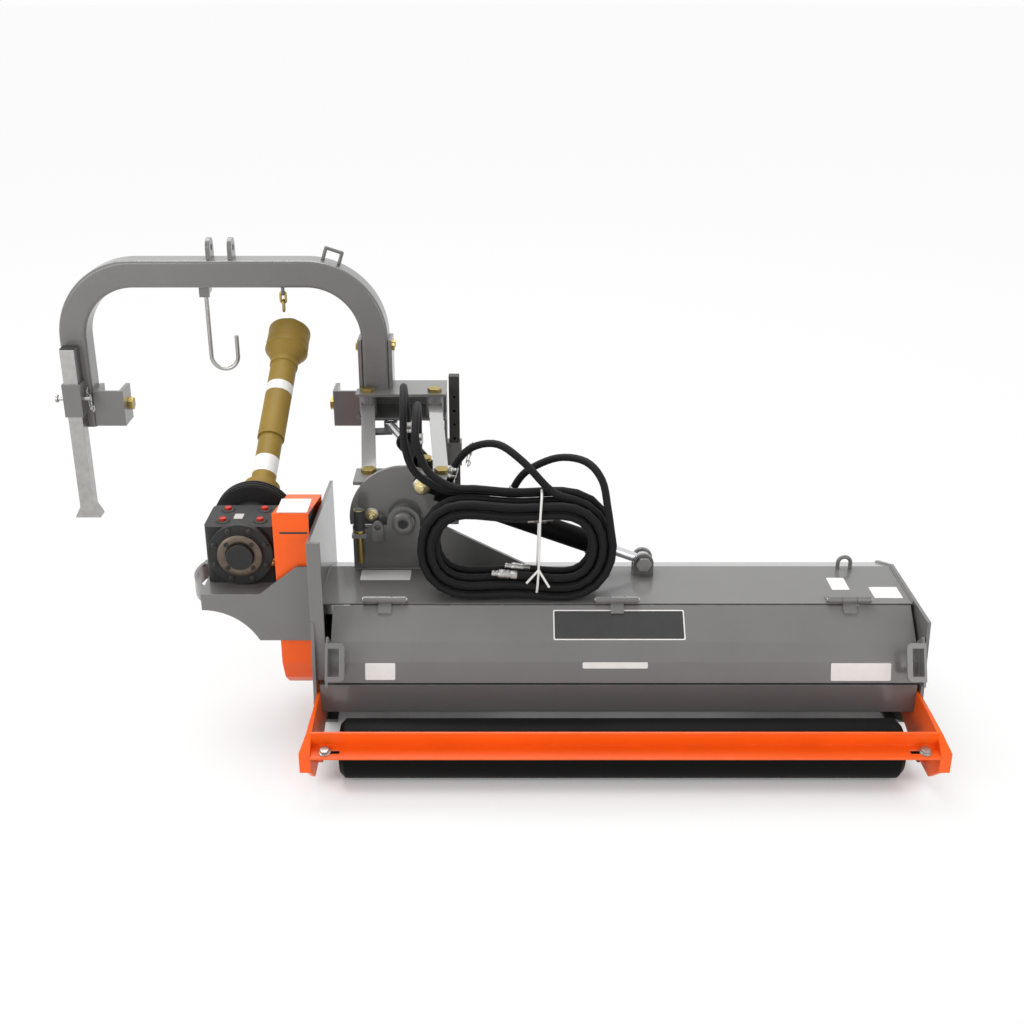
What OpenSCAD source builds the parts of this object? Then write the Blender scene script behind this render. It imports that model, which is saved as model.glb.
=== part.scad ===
// Offset verge flail mower for a small tractor: a cutting deck with a flail rotor and a rear
// roller, carried on a hydraulic side-shift and tilt linkage from a bent-tube hitch frame.
// Millimetres, +Z up, +Y towards the tractor, +X to the right seen from behind.
// The machine is drawn about the deck: x = 0 mid deck, y = 0 roller axis, z = 0 ground.

/* [Deck] */
// Width between the two side plates
cut_w = 1450; // [1200:10:1700]
// Thickness of the side plates
side_t = 8; // [6:1:12]
// Thickness of the bent deck sheet and hood sheet
sheet_t = 4; // [3:0.5:6]
// Height of the flat deck top above the ground
deck_top_z = 345; // [330:1:380]
// Distance of the hood hinge line ahead of the roller axis
hinge_y = 210; // [195:1:230]
// Depth of the flat deck top, front to back
deck_top_depth = 215; // [200:1:240]
// Height of the left side plate, which carries the drive
drive_plate_z = 555; // [520:1:600]

/* [Rotor] */
// Distance of the rotor axis ahead of the roller axis
rotor_y = 330; // [315:1:350]
// Height of the rotor axis
rotor_z = 190; // [180:1:200]
// Outside diameter of the rotor tube
rotor_d = 108; // [90:1:120]
// Radius swept by the flail tips
flail_r = 142; // [135:1:146]
// Flails in each of the four rows
flails_per_row = 5; // [3:1:6]

/* [Roller] */
// Outside diameter of the rear roller
roller_d = 140; // [110:1:150]
// Gap between each roller end and the side plate plane
roller_end_gap = 64; // [50:1:90]

/* [Drive] */
// Depth of the belt guard out from the left side plate
guard_depth = 85; // [80:1:110]
// Pitch diameter of the gearbox pulley
drive_pulley_d = 170; // [130:1:180]
// Pitch diameter of the rotor pulley
rotor_pulley_d = 116; // [100:1:120]
// Number of drive belts
belt_count = 3; // [2:1:3]
// Height of the gearbox shafts
gearbox_z = 477; // [460:1:490]
// Distance of the gearbox cross shaft ahead of the roller axis
gearbox_y = 290; // [280:1:300]
// Width of the gearbox case
gearbox_w = 172; // [150:1:190]

/* [Hitch frame] */
// Overall width of the bent hitch tube
arch_w = 924; // [860:1:1000]
// Height of the top of the hitch tube
arch_top_z = 1031; // [980:1:1080]
// Outside size of the square hitch tube
tube_w = 76; // [60:1:90]
// Wall of the hitch tube
tube_wall = 6; // [4:0.5:8]
// Radius of the tube bends, on the centreline
bend_r = 185; // [150:1:220]
// Bore for the upper link pin
top_link_bore = 19.5; // [19:0.1:26]
// Diameter of the lower link pins
hitch_pin_d = 22; // [20:0.5:29]

/* [Linkage] */
// Distance between the vertical pivots of each swing arm, front to back
arm_reach = 380; // [340:1:400]
// Distance between the two swing arms
arm_spacing = 190; // [180:1:220]
// Diameter of the vertical arm pivots
arm_pin_d = 24; // [20:1:28]
// Diameter of the deck tilt shaft
tilt_pin_d = 40; // [30:1:46]
// Outside diameter of the tilt cylinder barrel
tilt_barrel_d = 56; // [50:1:60]
// Outside diameter of the side-shift cylinder barrel
shift_barrel_d = 44; // [38:1:46]
// Diameter of both cylinder rods
cylinder_rod_d = 25; // [20:1:28]

/* [Drive shaft] */
// Outside diameter of the drive shaft guard tube
guard_tube_d = 72; // [60:1:80]
// Outside diameter of the outer guard cone
guard_cone_d = 116; // [100:1:130]
// Length from the universal joint to the outer yoke mouth
drive_shaft_len = 660; // [620:1:690]
// Bore of the tractor-end yoke
yoke_bore = 35; // [30:0.5:36]

/* [Parking legs] */
// Size of the square left parking leg
left_leg_w = 40; // [34:1:46]
// Size of the square right parking leg
right_leg_w = 30; // [26:1:34]

/* [Hoses] */
// Outside diameter of each sleeved hydraulic hose
hose_d = 19; // [16:0.5:20]
// Loops that each hose makes in the tied hank
hose_loops = 2; // [1:1:2]

/* [Hidden] */
$fn = 48;
// Running clearance of a pin or shaft in its bore, on the radius
run_gap = 0.05;
// Gap between faces that move past each other
side_gap = 1;
// Gap that keeps moving pieces well apart
clear_gap = 4;
// How far a cutting shape reaches past what it cuts
over = 2;

// Deck outline, front to back and up
half_w = cut_w / 2;
left_out = -half_w - side_t;
right_out = half_w + side_t;
deck_front_y = hinge_y + deck_top_depth;
brow_run = 120;
brow_drop = 45;
nose_run = 90;
nose_drop = 95;
skirt_drop = 30;
hinge_gap = 3;
brow = [deck_front_y + brow_run, deck_top_z - brow_drop];
nose = brow + [nose_run, -nose_drop];
shell_path = [[hinge_y + hinge_gap, deck_top_z], [deck_front_y, deck_top_z], brow, nose,
  nose - [0, skirt_drop]];

// Inward flange up the back of the left side plate
flange_w = 32;

// Hood: three flats that fall from the hinge line to the back
hood_runs = [75, 30, 15];
hood_drops = [64, 38, 49];
hood_1 = [hinge_y - hood_runs[0], deck_top_z - hood_drops[0]];
hood_2 = hood_1 - [hood_runs[1], hood_drops[1]];
hood_3 = hood_2 - [hood_runs[2], hood_drops[2]];
hood_dir = (hood_1 - [hinge_y, deck_top_z]) / norm(hood_1 - [hinge_y, deck_top_z]);
hood_start = [hinge_y, deck_top_z] + hood_dir * hinge_gap;
hood_end_t = 6;
hood_side_gap = 3;
hood_left = left_out + flange_w + hood_side_gap;
hood_right = half_w - hood_side_gap;
hood_mid = (hood_left + hood_right) / 2;
hood_half = (hood_right - hood_left) / 2;
hood_pin_r = 5;
knuckle_r = 9;
knuckle_len = 34;
leaf_len = 34;
leaf_t = 5;
leaf_sink = 0.5;
leaf_in = 1;
knuckle_up = knuckle_r / abs(hood_dir[0]);
hinge_z = deck_top_z + knuckle_up;
hinge_pin_end = 3;
hinge_pin_half = 1.5 * knuckle_len + side_gap + hinge_pin_end;
hood_hinge_share = 0.78;
hinge_xs = [-half_w * hood_hinge_share, 0, half_w * hood_hinge_share];
handle_t = 7;
handle_w = 46;
handle_h = 92;
handle_bar = 13;
handle_stand = 46;

// Rear crossbar below the hood
crossbar_gap = 6;
crossbar_h = 74;
crossbar_lip = 26;
crossbar_top = hood_3[1] - crossbar_gap;

// Side plates
plate_rear_y = 78;
plate_heel_z = 112;
plate_heel_r = 16;
plate_rear_lean = 24;
plate_lip = 6;
plate_top_z = deck_top_z + plate_lip;
plate_toe_run = 8;
plate_toe_y = nose[0] + plate_toe_run;
plate_toe_z = 75;
plate_heel_run = 75;
plate_heel_drop = 70;
sole_start_y = 225;
drive_front_y = 560;
drive_front_drop = 25;
drive_rear_y = 112;

// Skids
skid_t = 8;
skid_w = 60;
skid_rise_run = 60;

// Front curtain of hinged flaps
flap_count = 10;
flap_margin = (skid_w - side_t) / 2 + 2 * side_gap;
flap_rod_r = 6;
flap_eye_r = 10;
flap_t = 5;
flap_h = 148;
flap_back = 18;
flap_down = 19;
flap_at = nose - [flap_back, flap_down];

// Roller and its brackets
roller_z = roller_d / 2;
roller_half = half_w - roller_end_gap;
roller_wall = 6;
roller_shaft_r = 17;
roller_round = 12;
bracket_t = 8;
bracket_in = half_w - bracket_t;
bracket_front_y = 190;
bracket_front_drop = 8;
bracket_edge_shares = [[0, 0.7], [-0.57, 0.64], [-0.84, 0.43], [-0.84, 0.07], [-0.43, -0.28], [0.43, -0.28]];
roller_cup_r = 34;
cup_l = 12;
roller_shaft_end = 6;
roller_shaft_half = half_w + roller_shaft_end;
bracket_bolt_shares = [0.45, 0.85];
bracket_bolt_share = 0.35;
bracket_bolt_z = roller_z + roller_d * bracket_bolt_share;
tail_flange_w = 18;
tail_flange_t = 6;

// Angle bar behind the roller
bar_leg = 40;
bar_t = 5;
bar_turn = 17;
bar_corner_shares = [-0.61, 0.457];
bar_corner = [0, roller_z] + roller_d * bar_corner_shares;
bar_bolt_inset = 32;
bar_slot_w = 12;
bar_slot_l = 34;

// Rotor
rotor_wall = 12;
stub_r = 20;
ear_t = 8;
ear_gap = 34;
ear_half_w = 17;
flail_pin_r = 8;
flail_pin_at_r = 82;
flail_eye_r = 15;
flail_thick = 14;
flail_tip_w = 52;
rotor_end_gap = 40;
flail_neck = 22;
flail_shoulder = 34;
flail_edge = 4;
flail_head_r = 12;
flail_head_h = 6;
row_count = 4;
flail_margin = 90;
flail_pitch = (cut_w - 2 * flail_margin) / (row_count * flails_per_row - 1);
bearing_r = 58;
bearing_t = 14;
bearing_hub_r = 38;
bearing_hub_t = 30;
bearing_bolt_r = 46;
bolt_head_h = 7;
bolt_head_r = 11;
bolt_washer_r = 14;
bolt_washer_t = 2;

// Belt drive
belt_w = 13;
belt_t = 10;
belt_pitch = 17;
belt_gap = 0.5;
pulley_rim = 3;
pulley_w = belt_pitch * belt_count + 2 * pulley_rim;
pulley_x = left_out - guard_depth / 2;
guard_t = 3;
guard_rear_y = 168;
guard_front_y = 398;
guard_top_z = 602;
guard_low_z = 108;
guard_chamfer = 40;
guard_top_drop = 45;
guard_heel_z = 205;
guard_heel_run = 30;
guard_split_z = 372;
guard_split_gap = 2;

// Gearbox on its shelf
gearbox_gap = 4;
gearbox_x = left_out - guard_depth - gearbox_gap - gearbox_w / 2;
gearbox_half_d = 66;
gearbox_below = 80;
gearbox_above = 68;
gearbox_round = 14;
cap_r = 78;
cap_t = 14;
cap_ring_r = 54;
cap_ring_t = 8;
cap_hub_r = 32;
cap_hub_t = 10;
cap_hole_r = 6;
plug_r = 8;
plug_h = 9;
plug_dx = 45;
plug_dy = 34;
neck_r = 62;
neck_l = 48;
neck_base = 24;
neck_wall = 8;
output_r = 19;
output_in = 40;
shelf_t = 8;
shelf_margin = 6;
shelf_left = gearbox_x - gearbox_w / 2 - shelf_margin;
shelf_top_z = gearbox_z - gearbox_below;
shelf_rear_y = guard_rear_y - shelf_t - guard_split_gap;
shelf_front_y = gearbox_y + gearbox_half_d - over;
strap_foot = 24;
strap_h = 44;
apron_left_drop = 42;
apron_right_drop = 124;
apron_r = 150;
shelf_ear_rise = 72;
shelf_ear_run = 126;
shelf_ear_w = 34;

// Deck pivot bracket and tilt shaft
hub_offset = 203;
hub_x = left_out + hub_offset;
hub_z = 475;
pivot_t = 10;
pivot_inset = 15;
pivot_rear_y = deck_front_y - pivot_inset;
pivot_span = 170;
pivot_front_y = pivot_rear_y + pivot_span;
pivot_left_w = 130;
pivot_right_w = 310;
pivot_top_w = 100;
pivot_shoulder = 10;
pivot_top_z = hub_z - pivot_shoulder;
pivot_toe_h = 12;
pivot_boss_r = 42;
gusset_t = 10;
gusset_dx = 70;
gusset_drop = 106;
gusset_top_z = hub_z - gusset_drop;
front_plate_half = 95;
tilt_pin_r = tilt_pin_d / 2;
tilt_head_r = 29;
tilt_head_t = 11;
lock_side = 110;
lock_back = 22;
lock_x = hub_x - lock_side;
lock_y = pivot_rear_y - lock_back;
lock_lug_out = 40;
lock_lug_drop = 27;
lock_collar_r = 14;
lock_collar_h = 6;
lock_lug_t = 10;
lock_lug_w = 36;
lock_lug_z = hub_z - lock_lug_drop;
lock_pin_r = 8;
lock_pin_l = 84;
lock_pin_up = 46;
lock_grip_r = 13;
lock_grip_l = 56;
lashing_side = 66;
lashing_x = hub_x - lashing_side;
lashing_t = 9;
lashing_r = 15;
lashing_low = 40;
lashing_bore_r = 8;

// Turret between the deck bracket and the swing arms
turret_hub_r = 38;
disc_r = 140;
disc_t = 10;
disc_ahead = 30;
disc_y = pivot_rear_y + disc_ahead;
disc_low = 18;
clevis_t = 9;
clevis_margin = 34;
clevis_half = arm_spacing / 2 + clevis_margin;
clevis_web_half = 40;
clevis_up = 15;
clevis_low_z = hub_z + clevis_up;
arm_boss_h = 60;
arm_boss_r = 25;
arm_pin_r = arm_pin_d / 2;
clevis_top_z = clevis_low_z + clevis_t + arm_boss_h + 2 * side_gap;
arm_base_ahead = 110;
arm_base_y = pivot_rear_y + arm_base_ahead;
clevis_front_run = 26;
clevis_front_y = arm_base_y + clevis_front_run;
pin_head_r = 20;
pin_head_h = 10;

// Swing arms: they climb and lean to the left as they go forward
arm_lean = 35;
arm_climb = 98;
arm_w = 38;
arm_h = 30;
arm_base_x = [hub_x - arm_spacing / 2, hub_x + arm_spacing / 2];
arm_top_y = arm_base_y + arm_reach;
arm_base_z = clevis_low_z + clevis_t + side_gap;
arm_top_z = arm_base_z + arm_climb;

// Side-shift cylinder between the turret and the left arm
shift_side = 55;
shift_back = 42;
shift_up = 36;
shift_pin = [hub_x + shift_side, arm_base_y - shift_back];
shift_z = clevis_top_z + clevis_t + shift_up;
shift_post_r = 16;
shift_rod_in = 72;
shift_lug_along = 258;
shift_lug_in = 62;
shift_eye_r = 19;
shift_eye_t = 22;
shift_pin_r = 10;
shift_body_from = 34;
shift_body_len = 150;
shift_gland_l = 16;
shift_lug_t = 8;
arm_left_dir = [-arm_lean, arm_reach] / norm([arm_lean, arm_reach]);
arm_right_of = [arm_left_dir[1], -arm_left_dir[0]];
shift_lug = [arm_base_x[0], arm_base_y] + arm_left_dir * shift_lug_along + arm_right_of * shift_lug_in;
shift_len = norm(shift_lug - shift_pin);
shift_turn = atan2(shift_lug[1] - shift_pin[1], shift_lug[0] - shift_pin[0]);

// Tilt cylinder between the turret and the deck
tilt_back = 15;
tilt_y = pivot_rear_y - tilt_back;
tilt_anchor_side = 50;
tilt_anchor_up = 110;
tilt_anchor = [hub_x + tilt_anchor_side, hub_z + tilt_anchor_up];
tilt_lug_side = 610;
tilt_lug_up = 32;
tilt_lug = [hub_x + tilt_lug_side, deck_top_z + tilt_lug_up];
tilt_rod_in = 300;
barrel_bore_share = 0.95;
gland_lip = 3;
port_inset = 22;
port_r = 9;
port_h = 12;
tilt_eye_r = 22;
tilt_eye_t = 24;
tilt_eye_pin_r = 11;
tilt_body_from = 40;
tilt_rod_free = 100;
tilt_gland_l = 26;
tilt_lug_t = 9;
tilt_lug_half = 26;
tilt_port_step = 158;
shift_port_step = 96;
tilt_len = norm(tilt_lug - tilt_anchor);
tilt_turn = atan2(tilt_lug[1] - tilt_anchor[1], tilt_lug[0] - tilt_anchor[0]);
tilt_body_end = tilt_len - tilt_eye_r - tilt_rod_free;

// Hitch frame
arch_side = 70;
arch_right_out = hub_x - arch_side;
arch_x = arch_right_out - arch_w / 2;
arch_ahead = 30;
arch_y = arm_top_y + arch_ahead;
tube_y = arch_y + tube_w / 2;
tube_round = 9;
leg_left_x = arch_x - arch_w / 2 + tube_w / 2;
leg_right_x = arch_right_out - tube_w / 2;
leg_left_low_z = 556;
leg_right_low_z = 735;
arch_mid_z = arch_top_z - tube_w / 2;
leg_cap_t = 6;

// Bracket under the right leg, carrying both arms
carrier_t = 8;
carrier_side = 92;
carrier_right = hub_x + carrier_side;
carrier_left = leg_right_x - tube_w / 2;
carrier_step = 16;
carrier_back = 28;
carrier_rear_y = arm_top_y - carrier_back;
carrier_end_half = 32;
carrier_front_y = tube_y + tube_w / 2;
carrier_low_z = arm_top_z - side_gap - carrier_t;
carrier_top_z = arm_top_z + arm_boss_h + side_gap;
cheek_t = 10;
cheek_rise = 72;
cheek_bolt_up = 48;
cheek_bolt_z = leg_right_low_z + cheek_bolt_up;
cheek_bolt_inset = 20;

// Lower hitch points
hitch_gap = 62;
hitch_plate_t = 12;
hitch_pin_r = hitch_pin_d / 2;
hitch_half_h = 52;
hitch_half_y = 40;
hitch_z = 606;
hitch_web_t = 8;
hitch_pin_ahead = 10;
hitch_nut_r = 19;
hitch_nut_t = 14;

// Upper link ears, wire handle and drive shaft hook
ear_plate_t = 12;
ear_plate_gap = 48;
ear_plate_r = 27;
ear_bore_up = 30;
ear_side = 4;
ear_x = arch_x + ear_side;
wire_r = 5;
handle_span = 46;
handle_rise = 34;
wire_handle_turn = 18;
hook_rod_r = 6;
hook_side = 53;
hook_x = ear_x - hook_side;
hook_lug_t = 10;
hook_stud_r = 6;
hook_drop = 190;
hook_bend_r = 38;
hook_tip = 60;
hook_eye_r = 14;
hook_stud_l = 26;

// Parking legs
leg_wall = 4;
sleeve_wall = 5;
sleeve_gap = 0.6;
left_leg_top_z = 787;
left_leg_foot_z = 285;
left_sleeve_z = 596;
left_sleeve_h = 96;
right_leg_top_z = 690;
right_leg_foot_z = 296;
right_sleeve_z = 424;
right_sleeve_h = 70;
left_leg_side = 6;
left_leg = [leg_left_x - left_leg_side, arch_y - sleeve_wall - sleeve_gap - left_leg_w / 2];
right_leg = [carrier_right + sleeve_wall + sleeve_gap + right_leg_w / 2, tube_y];
foot_flare = 16;
foot_h = 34;
stand_pin_r = 6;
stand_pin_over = 22;
stand_hole_r = 4.5;
stand_hole_step = 42;

// Drive shaft from the gearbox up to the tractor
joint_ahead = 152;
joint_at = [gearbox_x, gearbox_y + joint_ahead, gearbox_z];
shaft_rise = 33;
shaft_swing = -3;
cross_r = 11;
cross_l = 66;
yoke_t = 12;
yoke_gap = 48;
yoke_w = 30;
yoke_back = 46;
yoke_hub_r = 26;
shaft_bar_r = 17;
shaft_bar_to = 430;
shaft_tube_r = 24;
shaft_tube_from = 300;
yoke_bore_depth = 62;
inner_guard_from = 62;
inner_guard_len = 330;
collar_r = 46;
collar_l = 34;
guard_wall = 3.5;
sleeve_fit = 0.8;
outer_guard_from = 250;
outer_guard_to = 520;
cone_len = 110;
bell_r = 100;
bell_l = 34;
bell_wall = 4;
bell_rib = 4;
bell_ribs = 3;

// Chain that holds the drive shaft up under the hitch tube
chain_wire_r = 3.5;
chain_link_l = 38;
chain_link_w = 21;
chain_links = 2;
chain_slack = 0.5;
chain_side = 18;
chain_x = gearbox_x + chain_side;
chain_inset = 24;
chain_y = arch_y + chain_inset;
chain_lug_l = 23;
chain_lug_r = 9;

// Lifting loop at the right of the deck
loop_share = 0.83;
loop_x = half_w * loop_share;
loop_inset = 12;
loop_r = 16;
loop_rise = 16;

// Hoses: two from each cylinder, tied in a flat hank that leans forward
hose_count = 4;
hank_x = -250;
hank_y = 250;
hank_z = 474.8;
hank_a = 186;
hank_b = 82;
hank_waist_share = 0.2;
hank_step = 24;
hank_layer = 19.8;
hank_lean_share = 0.16;
loop_rings = 24;
loop_sides = 6;
lead_sides = 8;
lead_ref = [1, 0.1, 0.2];
hose_starts = [12, 44, 122, 128];
hose_turn_ends = [100, -36, 200, 25];
lead_rise = 46;
lead_gap = 0.3;
hose_routes = [
  [[-211, 385, 630], [-142, 374, 664], [-77, 331, 670], [-39, 292, 637]],
  [[-352, 384, 688], [-290, 360, 704], [-228, 322, 672]],
  [[-492, 503, 743], [-491, 452, 773], [-490, 391, 765], [-488, 340, 719], [-461, 318, 652]],
  [[-531, 599, 746], [-530, 553, 788], [-526, 482, 804], [-522, 413, 780], [-518, 360, 704], [-491, 339, 638]]];
coupler_nut_r = 11.5;
coupler_nut_l = 16;
coupler_r = 11.5;
coupler_l = 30;
coupler_tip_r = 8;
coupler_tip_l = 16;

// Middle of the footprint
foot_left = left_leg[0] - left_leg_w / 2 - sleeve_gap - sleeve_wall - stand_pin_over - stand_pin_r;
foot_rear = bar_corner[0] - bar_leg * cos(bar_turn);
origin = [(foot_left + right_out + bearing_hub_t) / 2, (foot_rear + tube_y + hitch_half_y) / 2, 0];

module placed() { translate(-origin) children(); }

// Helpers: outlines pushed along each axis, rods, boxes and bent sheet
module along_x(from, to) {
  translate([from, 0, 0]) rotate([90, 0, 90]) linear_extrude(to - from) children();
}
module along_y(from, to) { translate([0, to, 0]) rotate([90, 0, 0]) linear_extrude(to - from) children(); }
module along_z(from, to) { translate([0, 0, from]) linear_extrude(to - from) children(); }
module rod_x(at, r, l) { translate(at) rotate([0, 90, 0]) cylinder(r = r, h = l); }
module rod_y(at, r, l) { translate(at) rotate([-90, 0, 0]) cylinder(r = r, h = l); }
module rod_z(at, r, l) { translate(at) cylinder(r = r, h = l); }
module block(a, b) { translate(a) cube(b - a); }
module hex_x(at, r, l) { translate(at) rotate([0, 90, 0]) cylinder(r = r, h = l, $fn = 6); }
module hex_y(at, r, l) { translate(at) rotate([-90, 0, 0]) cylinder(r = r, h = l, $fn = 6); }
module hex_z(at, r, l) { translate(at) cylinder(r = r, h = l, $fn = 6); }
module both_sides() { for (s = [0, 1]) mirror([s, 0, 0]) children(); }
function unit(v) = v / norm(v);
function left_of(a, b) = let (d = unit(b - a)) [-d[1], d[0]];
function mitre(p, i, t) =
  let (n = len(p), a = left_of(p[max(i - 1, 0)], p[max(i, 1)]),
    b = left_of(p[min(i, n - 2)], p[min(i + 1, n - 1)]))
  p[i] + t * (a + b) / (1 + a * b);
function sheet_outline(p, t) = concat(p, [for (i = [len(p) - 1 : -1 : 0]) mitre(p, i, t)]);
function on_line(a, b, y) = a + (b - a) * (y - a[0]) / (b[0] - a[0]);

// Square tube section with round edges, hollow
module round_square(w, r) {
  square([w, w - 2 * r], center = true);
  square([w - 2 * r, w], center = true);
  for (x = [-1, 1], y = [-1, 1]) translate([x, y] * (w / 2 - r)) circle(r = r);
}
module tube_section(w, wall, r) {
  difference() {
    round_square(w, r);
    square(w - 2 * wall, center = true);
  }
}

// Deck
module housing_shell() {
  color("dimgray") {
    along_x(-half_w, half_w) polygon(sheet_outline(shell_path, -sheet_t));
    hinge_knuckles(true);
  }
}
module rear_crossbar() {
  path = [[hood_3[0] + crossbar_lip, crossbar_top], [hood_3[0], crossbar_top],
    [hood_3[0], crossbar_top - crossbar_h], [hood_3[0] + crossbar_lip, crossbar_top - crossbar_h]];
  color("dimgray") along_x(-bracket_in, bracket_in) polygon(sheet_outline(path, sheet_t));
}
module plate_foot() {
  polygon([[plate_rear_y + plate_heel_r, plate_heel_z],
    [plate_rear_y + plate_heel_run, plate_heel_z - plate_heel_drop],
    [sole_start_y, skid_t], [plate_toe_y - skid_rise_run, skid_t], [plate_toe_y, plate_toe_z],
    [plate_toe_y, nose[1]], [plate_rear_y + plate_heel_r, nose[1]]]);
  translate([plate_rear_y + plate_heel_r, plate_heel_z]) circle(r = plate_heel_r);
}
module right_plate_outline() {
  plate_foot();
  polygon([[plate_rear_y, plate_heel_z], [plate_toe_y, plate_heel_z], [plate_toe_y, nose[1]],
    brow + [0, plate_lip],
    [deck_front_y, plate_top_z], [plate_rear_y + plate_rear_lean, plate_top_z]]);
}
module left_plate_outline() {
  plate_foot();
  polygon([[plate_rear_y, plate_heel_z], [plate_toe_y, plate_heel_z], [plate_toe_y, nose[1]],
    [drive_front_y, brow[1]], [drive_front_y, drive_plate_z - drive_front_drop],
    [drive_rear_y, drive_plate_z], [drive_rear_y, plate_top_z],
    [plate_rear_y + plate_rear_lean, plate_top_z]]);
}
module right_side_plate() {
  color("dimgray") difference() {
    along_x(half_w, right_out) right_plate_outline();
    rod_x([half_w - over, rotor_y, rotor_z], bearing_hub_r + clear_gap, side_t + 2 * over);
  }
}
module left_side_plate() {
  color("dimgray") difference() {
    union() {
      along_x(left_out, -half_w) left_plate_outline();
      block([left_out, drive_rear_y - side_t, hood_3[1]],
        [left_out + flange_w, drive_rear_y, drive_plate_z]);
    }
    rod_x([left_out - over, rotor_y, rotor_z], bearing_hub_r + clear_gap, side_t + 2 * over);
  }
}
module skids() {
  path = [[sole_start_y, skid_t], [plate_toe_y - skid_rise_run, skid_t], [plate_toe_y, plate_toe_z]];
  color("black") both_sides() translate([half_w + side_t / 2, 0, 0]) along_x(-skid_w / 2, skid_w / 2)
    polygon(sheet_outline(path, -skid_t));
}
module flap_rod() {
  color("gray") rod_x([-half_w, flap_at[0], flap_at[1]], flap_rod_r, cut_w);
}
module front_flaps() {
  flap_w = (cut_w - 2 * flap_margin) / flap_count;
  color("dimgray") for (i = [0 : flap_count - 1])
    translate([-half_w + flap_margin + i * flap_w + side_gap, flap_at[0], flap_at[1]]) difference() {
      union() {
        rod_x([0, 0, 0], flap_eye_r, flap_w - 2 * side_gap);
        block([0, -flap_t / 2, -flap_h], [flap_w - 2 * side_gap, flap_t / 2, 0]);
      }
      rod_x([-over, 0, 0], flap_rod_r + run_gap, flap_w + 2 * over);
    }
}

// Hood: panel, end plates with grips, and its hinges
module hinge_knuckles(on_deck) {
  for (x = hinge_xs, s = on_deck ? [-1, 1] : [0])
    translate([x + s * (knuckle_len + side_gap) - knuckle_len / 2, hinge_y, hinge_z]) difference() {
      union() {
        rod_x([0, 0, 0], knuckle_r, knuckle_len);
        if (on_deck) block([0, 0, -knuckle_up], [knuckle_len, leaf_len, leaf_t - knuckle_up]);
        else rotate([atan2(-hood_dir[1], -hood_dir[0]), 0, 0])
          block([leaf_in, -leaf_len, -knuckle_r - leaf_sink],
            [knuckle_len - leaf_in, -leaf_sink, leaf_t - knuckle_r]);
      }
      rod_x([-over, 0, 0], hood_pin_r + run_gap, knuckle_len + 2 * over);
    }
}
module hood_panel() {
  color("dimgray") {
    along_x(hood_left + hood_end_t, hood_right - hood_end_t)
      polygon(sheet_outline([hood_start, hood_1, hood_2, hood_3], sheet_t));
    hinge_knuckles(false);
  }
}
module hood_handles() {
  path = [hood_start, hood_1, hood_2, hood_3];
  grip_dir = unit(hood_1 - hood_3);
  color("dimgray") translate([hood_mid, 0, 0]) both_sides() translate([-hood_half, 0, 0]) {
    along_x(0, hood_end_t)
      polygon([for (i = [1 : 3]) mitre(path, i, sheet_t),
        for (i = [3 : -1 : 1]) mitre(path, i, -handle_stand)]);
    translate([0, mitre(path, 2, -handle_stand)[0], mitre(path, 2, -handle_stand)[1]])
      rotate([-atan2(grip_dir[0], grip_dir[1]), 0, 0]) along_y(0, handle_t) difference() {
        union() {
          translate([0, -handle_h / 2]) square([handle_w - handle_bar, handle_h]);
          translate([0, handle_bar - handle_h / 2]) square([handle_w, handle_h - 2 * handle_bar]);
          for (s = [-1, 1])
            translate([handle_w - handle_bar, s * (handle_h / 2 - handle_bar)]) circle(r = handle_bar);
        }
        translate([hood_end_t, handle_bar - handle_h / 2])
          square([handle_w - hood_end_t - handle_bar, handle_h - 2 * handle_bar]);
      }
  }
}

// Roller, its brackets and the angle bar behind it
module rear_roller() {
  r = roller_d / 2;
  color("black") translate([0, 0, roller_z]) {
    difference() {
      union() {
        rod_x([roller_round - roller_half, 0, 0], r, 2 * (roller_half - roller_round));
        both_sides() translate([roller_half - roller_round, 0, 0]) rotate([0, 90, 0])
          cylinder(r1 = r, r2 = r - roller_round, h = roller_round);
      }
      rod_x([roller_round + roller_wall - roller_half, 0, 0], r - roller_wall,
        2 * (roller_half - roller_round - roller_wall));
    }
    rod_x([-roller_shaft_half, 0, 0], roller_shaft_r, 2 * roller_shaft_half);
  }
}
function bracket_edge() = [for (s = bracket_edge_shares) [0, roller_z] + roller_d * s];
module roller_bracket() {
  edge = bracket_edge();
  difference() {
    union() {
      along_x(bracket_in, half_w)
        polygon(concat([[bracket_front_y, edge[0][1]]], edge,
          [[bracket_front_y, roller_z - bracket_front_drop]]));
      rod_x([bracket_in - cup_l, 0, roller_z], roller_cup_r, cup_l);
      intersection() {
        along_x(half_w, half_w + tail_flange_w)
          polygon(sheet_outline([edge[0], edge[1], edge[2], edge[3]], tail_flange_t));
        along_y(edge[3][0] - over, edge[0][0] + over)
          polygon([[half_w, edge[0][1]], [half_w, edge[3][1]], [half_w + tail_flange_w, edge[3][1]],
            [half_w + tail_flange_w, edge[2][1]]]);
      }
    }
    rod_x([bracket_in - cup_l - over, 0, roller_z], roller_shaft_r + run_gap, bracket_t + cup_l + 2 * over);
  }
}
module roller_brackets() { color("orangered") both_sides() roller_bracket(); }
module at_bar_bolt() {
  translate([bracket_in - bar_bolt_inset, bar_corner[0], bar_corner[1]]) rotate([bar_turn, 0, 0])
    translate([0, -bar_leg / 2, 0]) children();
}
module scraper_bar() {
  color("orangered") difference() {
    along_x(-bracket_in, bracket_in) translate(bar_corner) rotate(bar_turn)
      polygon(sheet_outline([[0, bar_leg], [0, 0], [-bar_leg, 0]], bar_t));
    both_sides() at_bar_bolt() block([-bar_slot_l, -bar_slot_w / 2, -bar_t - over],
      [bar_slot_w / 2, bar_slot_w / 2, bar_t + over]);
  }
}
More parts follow.
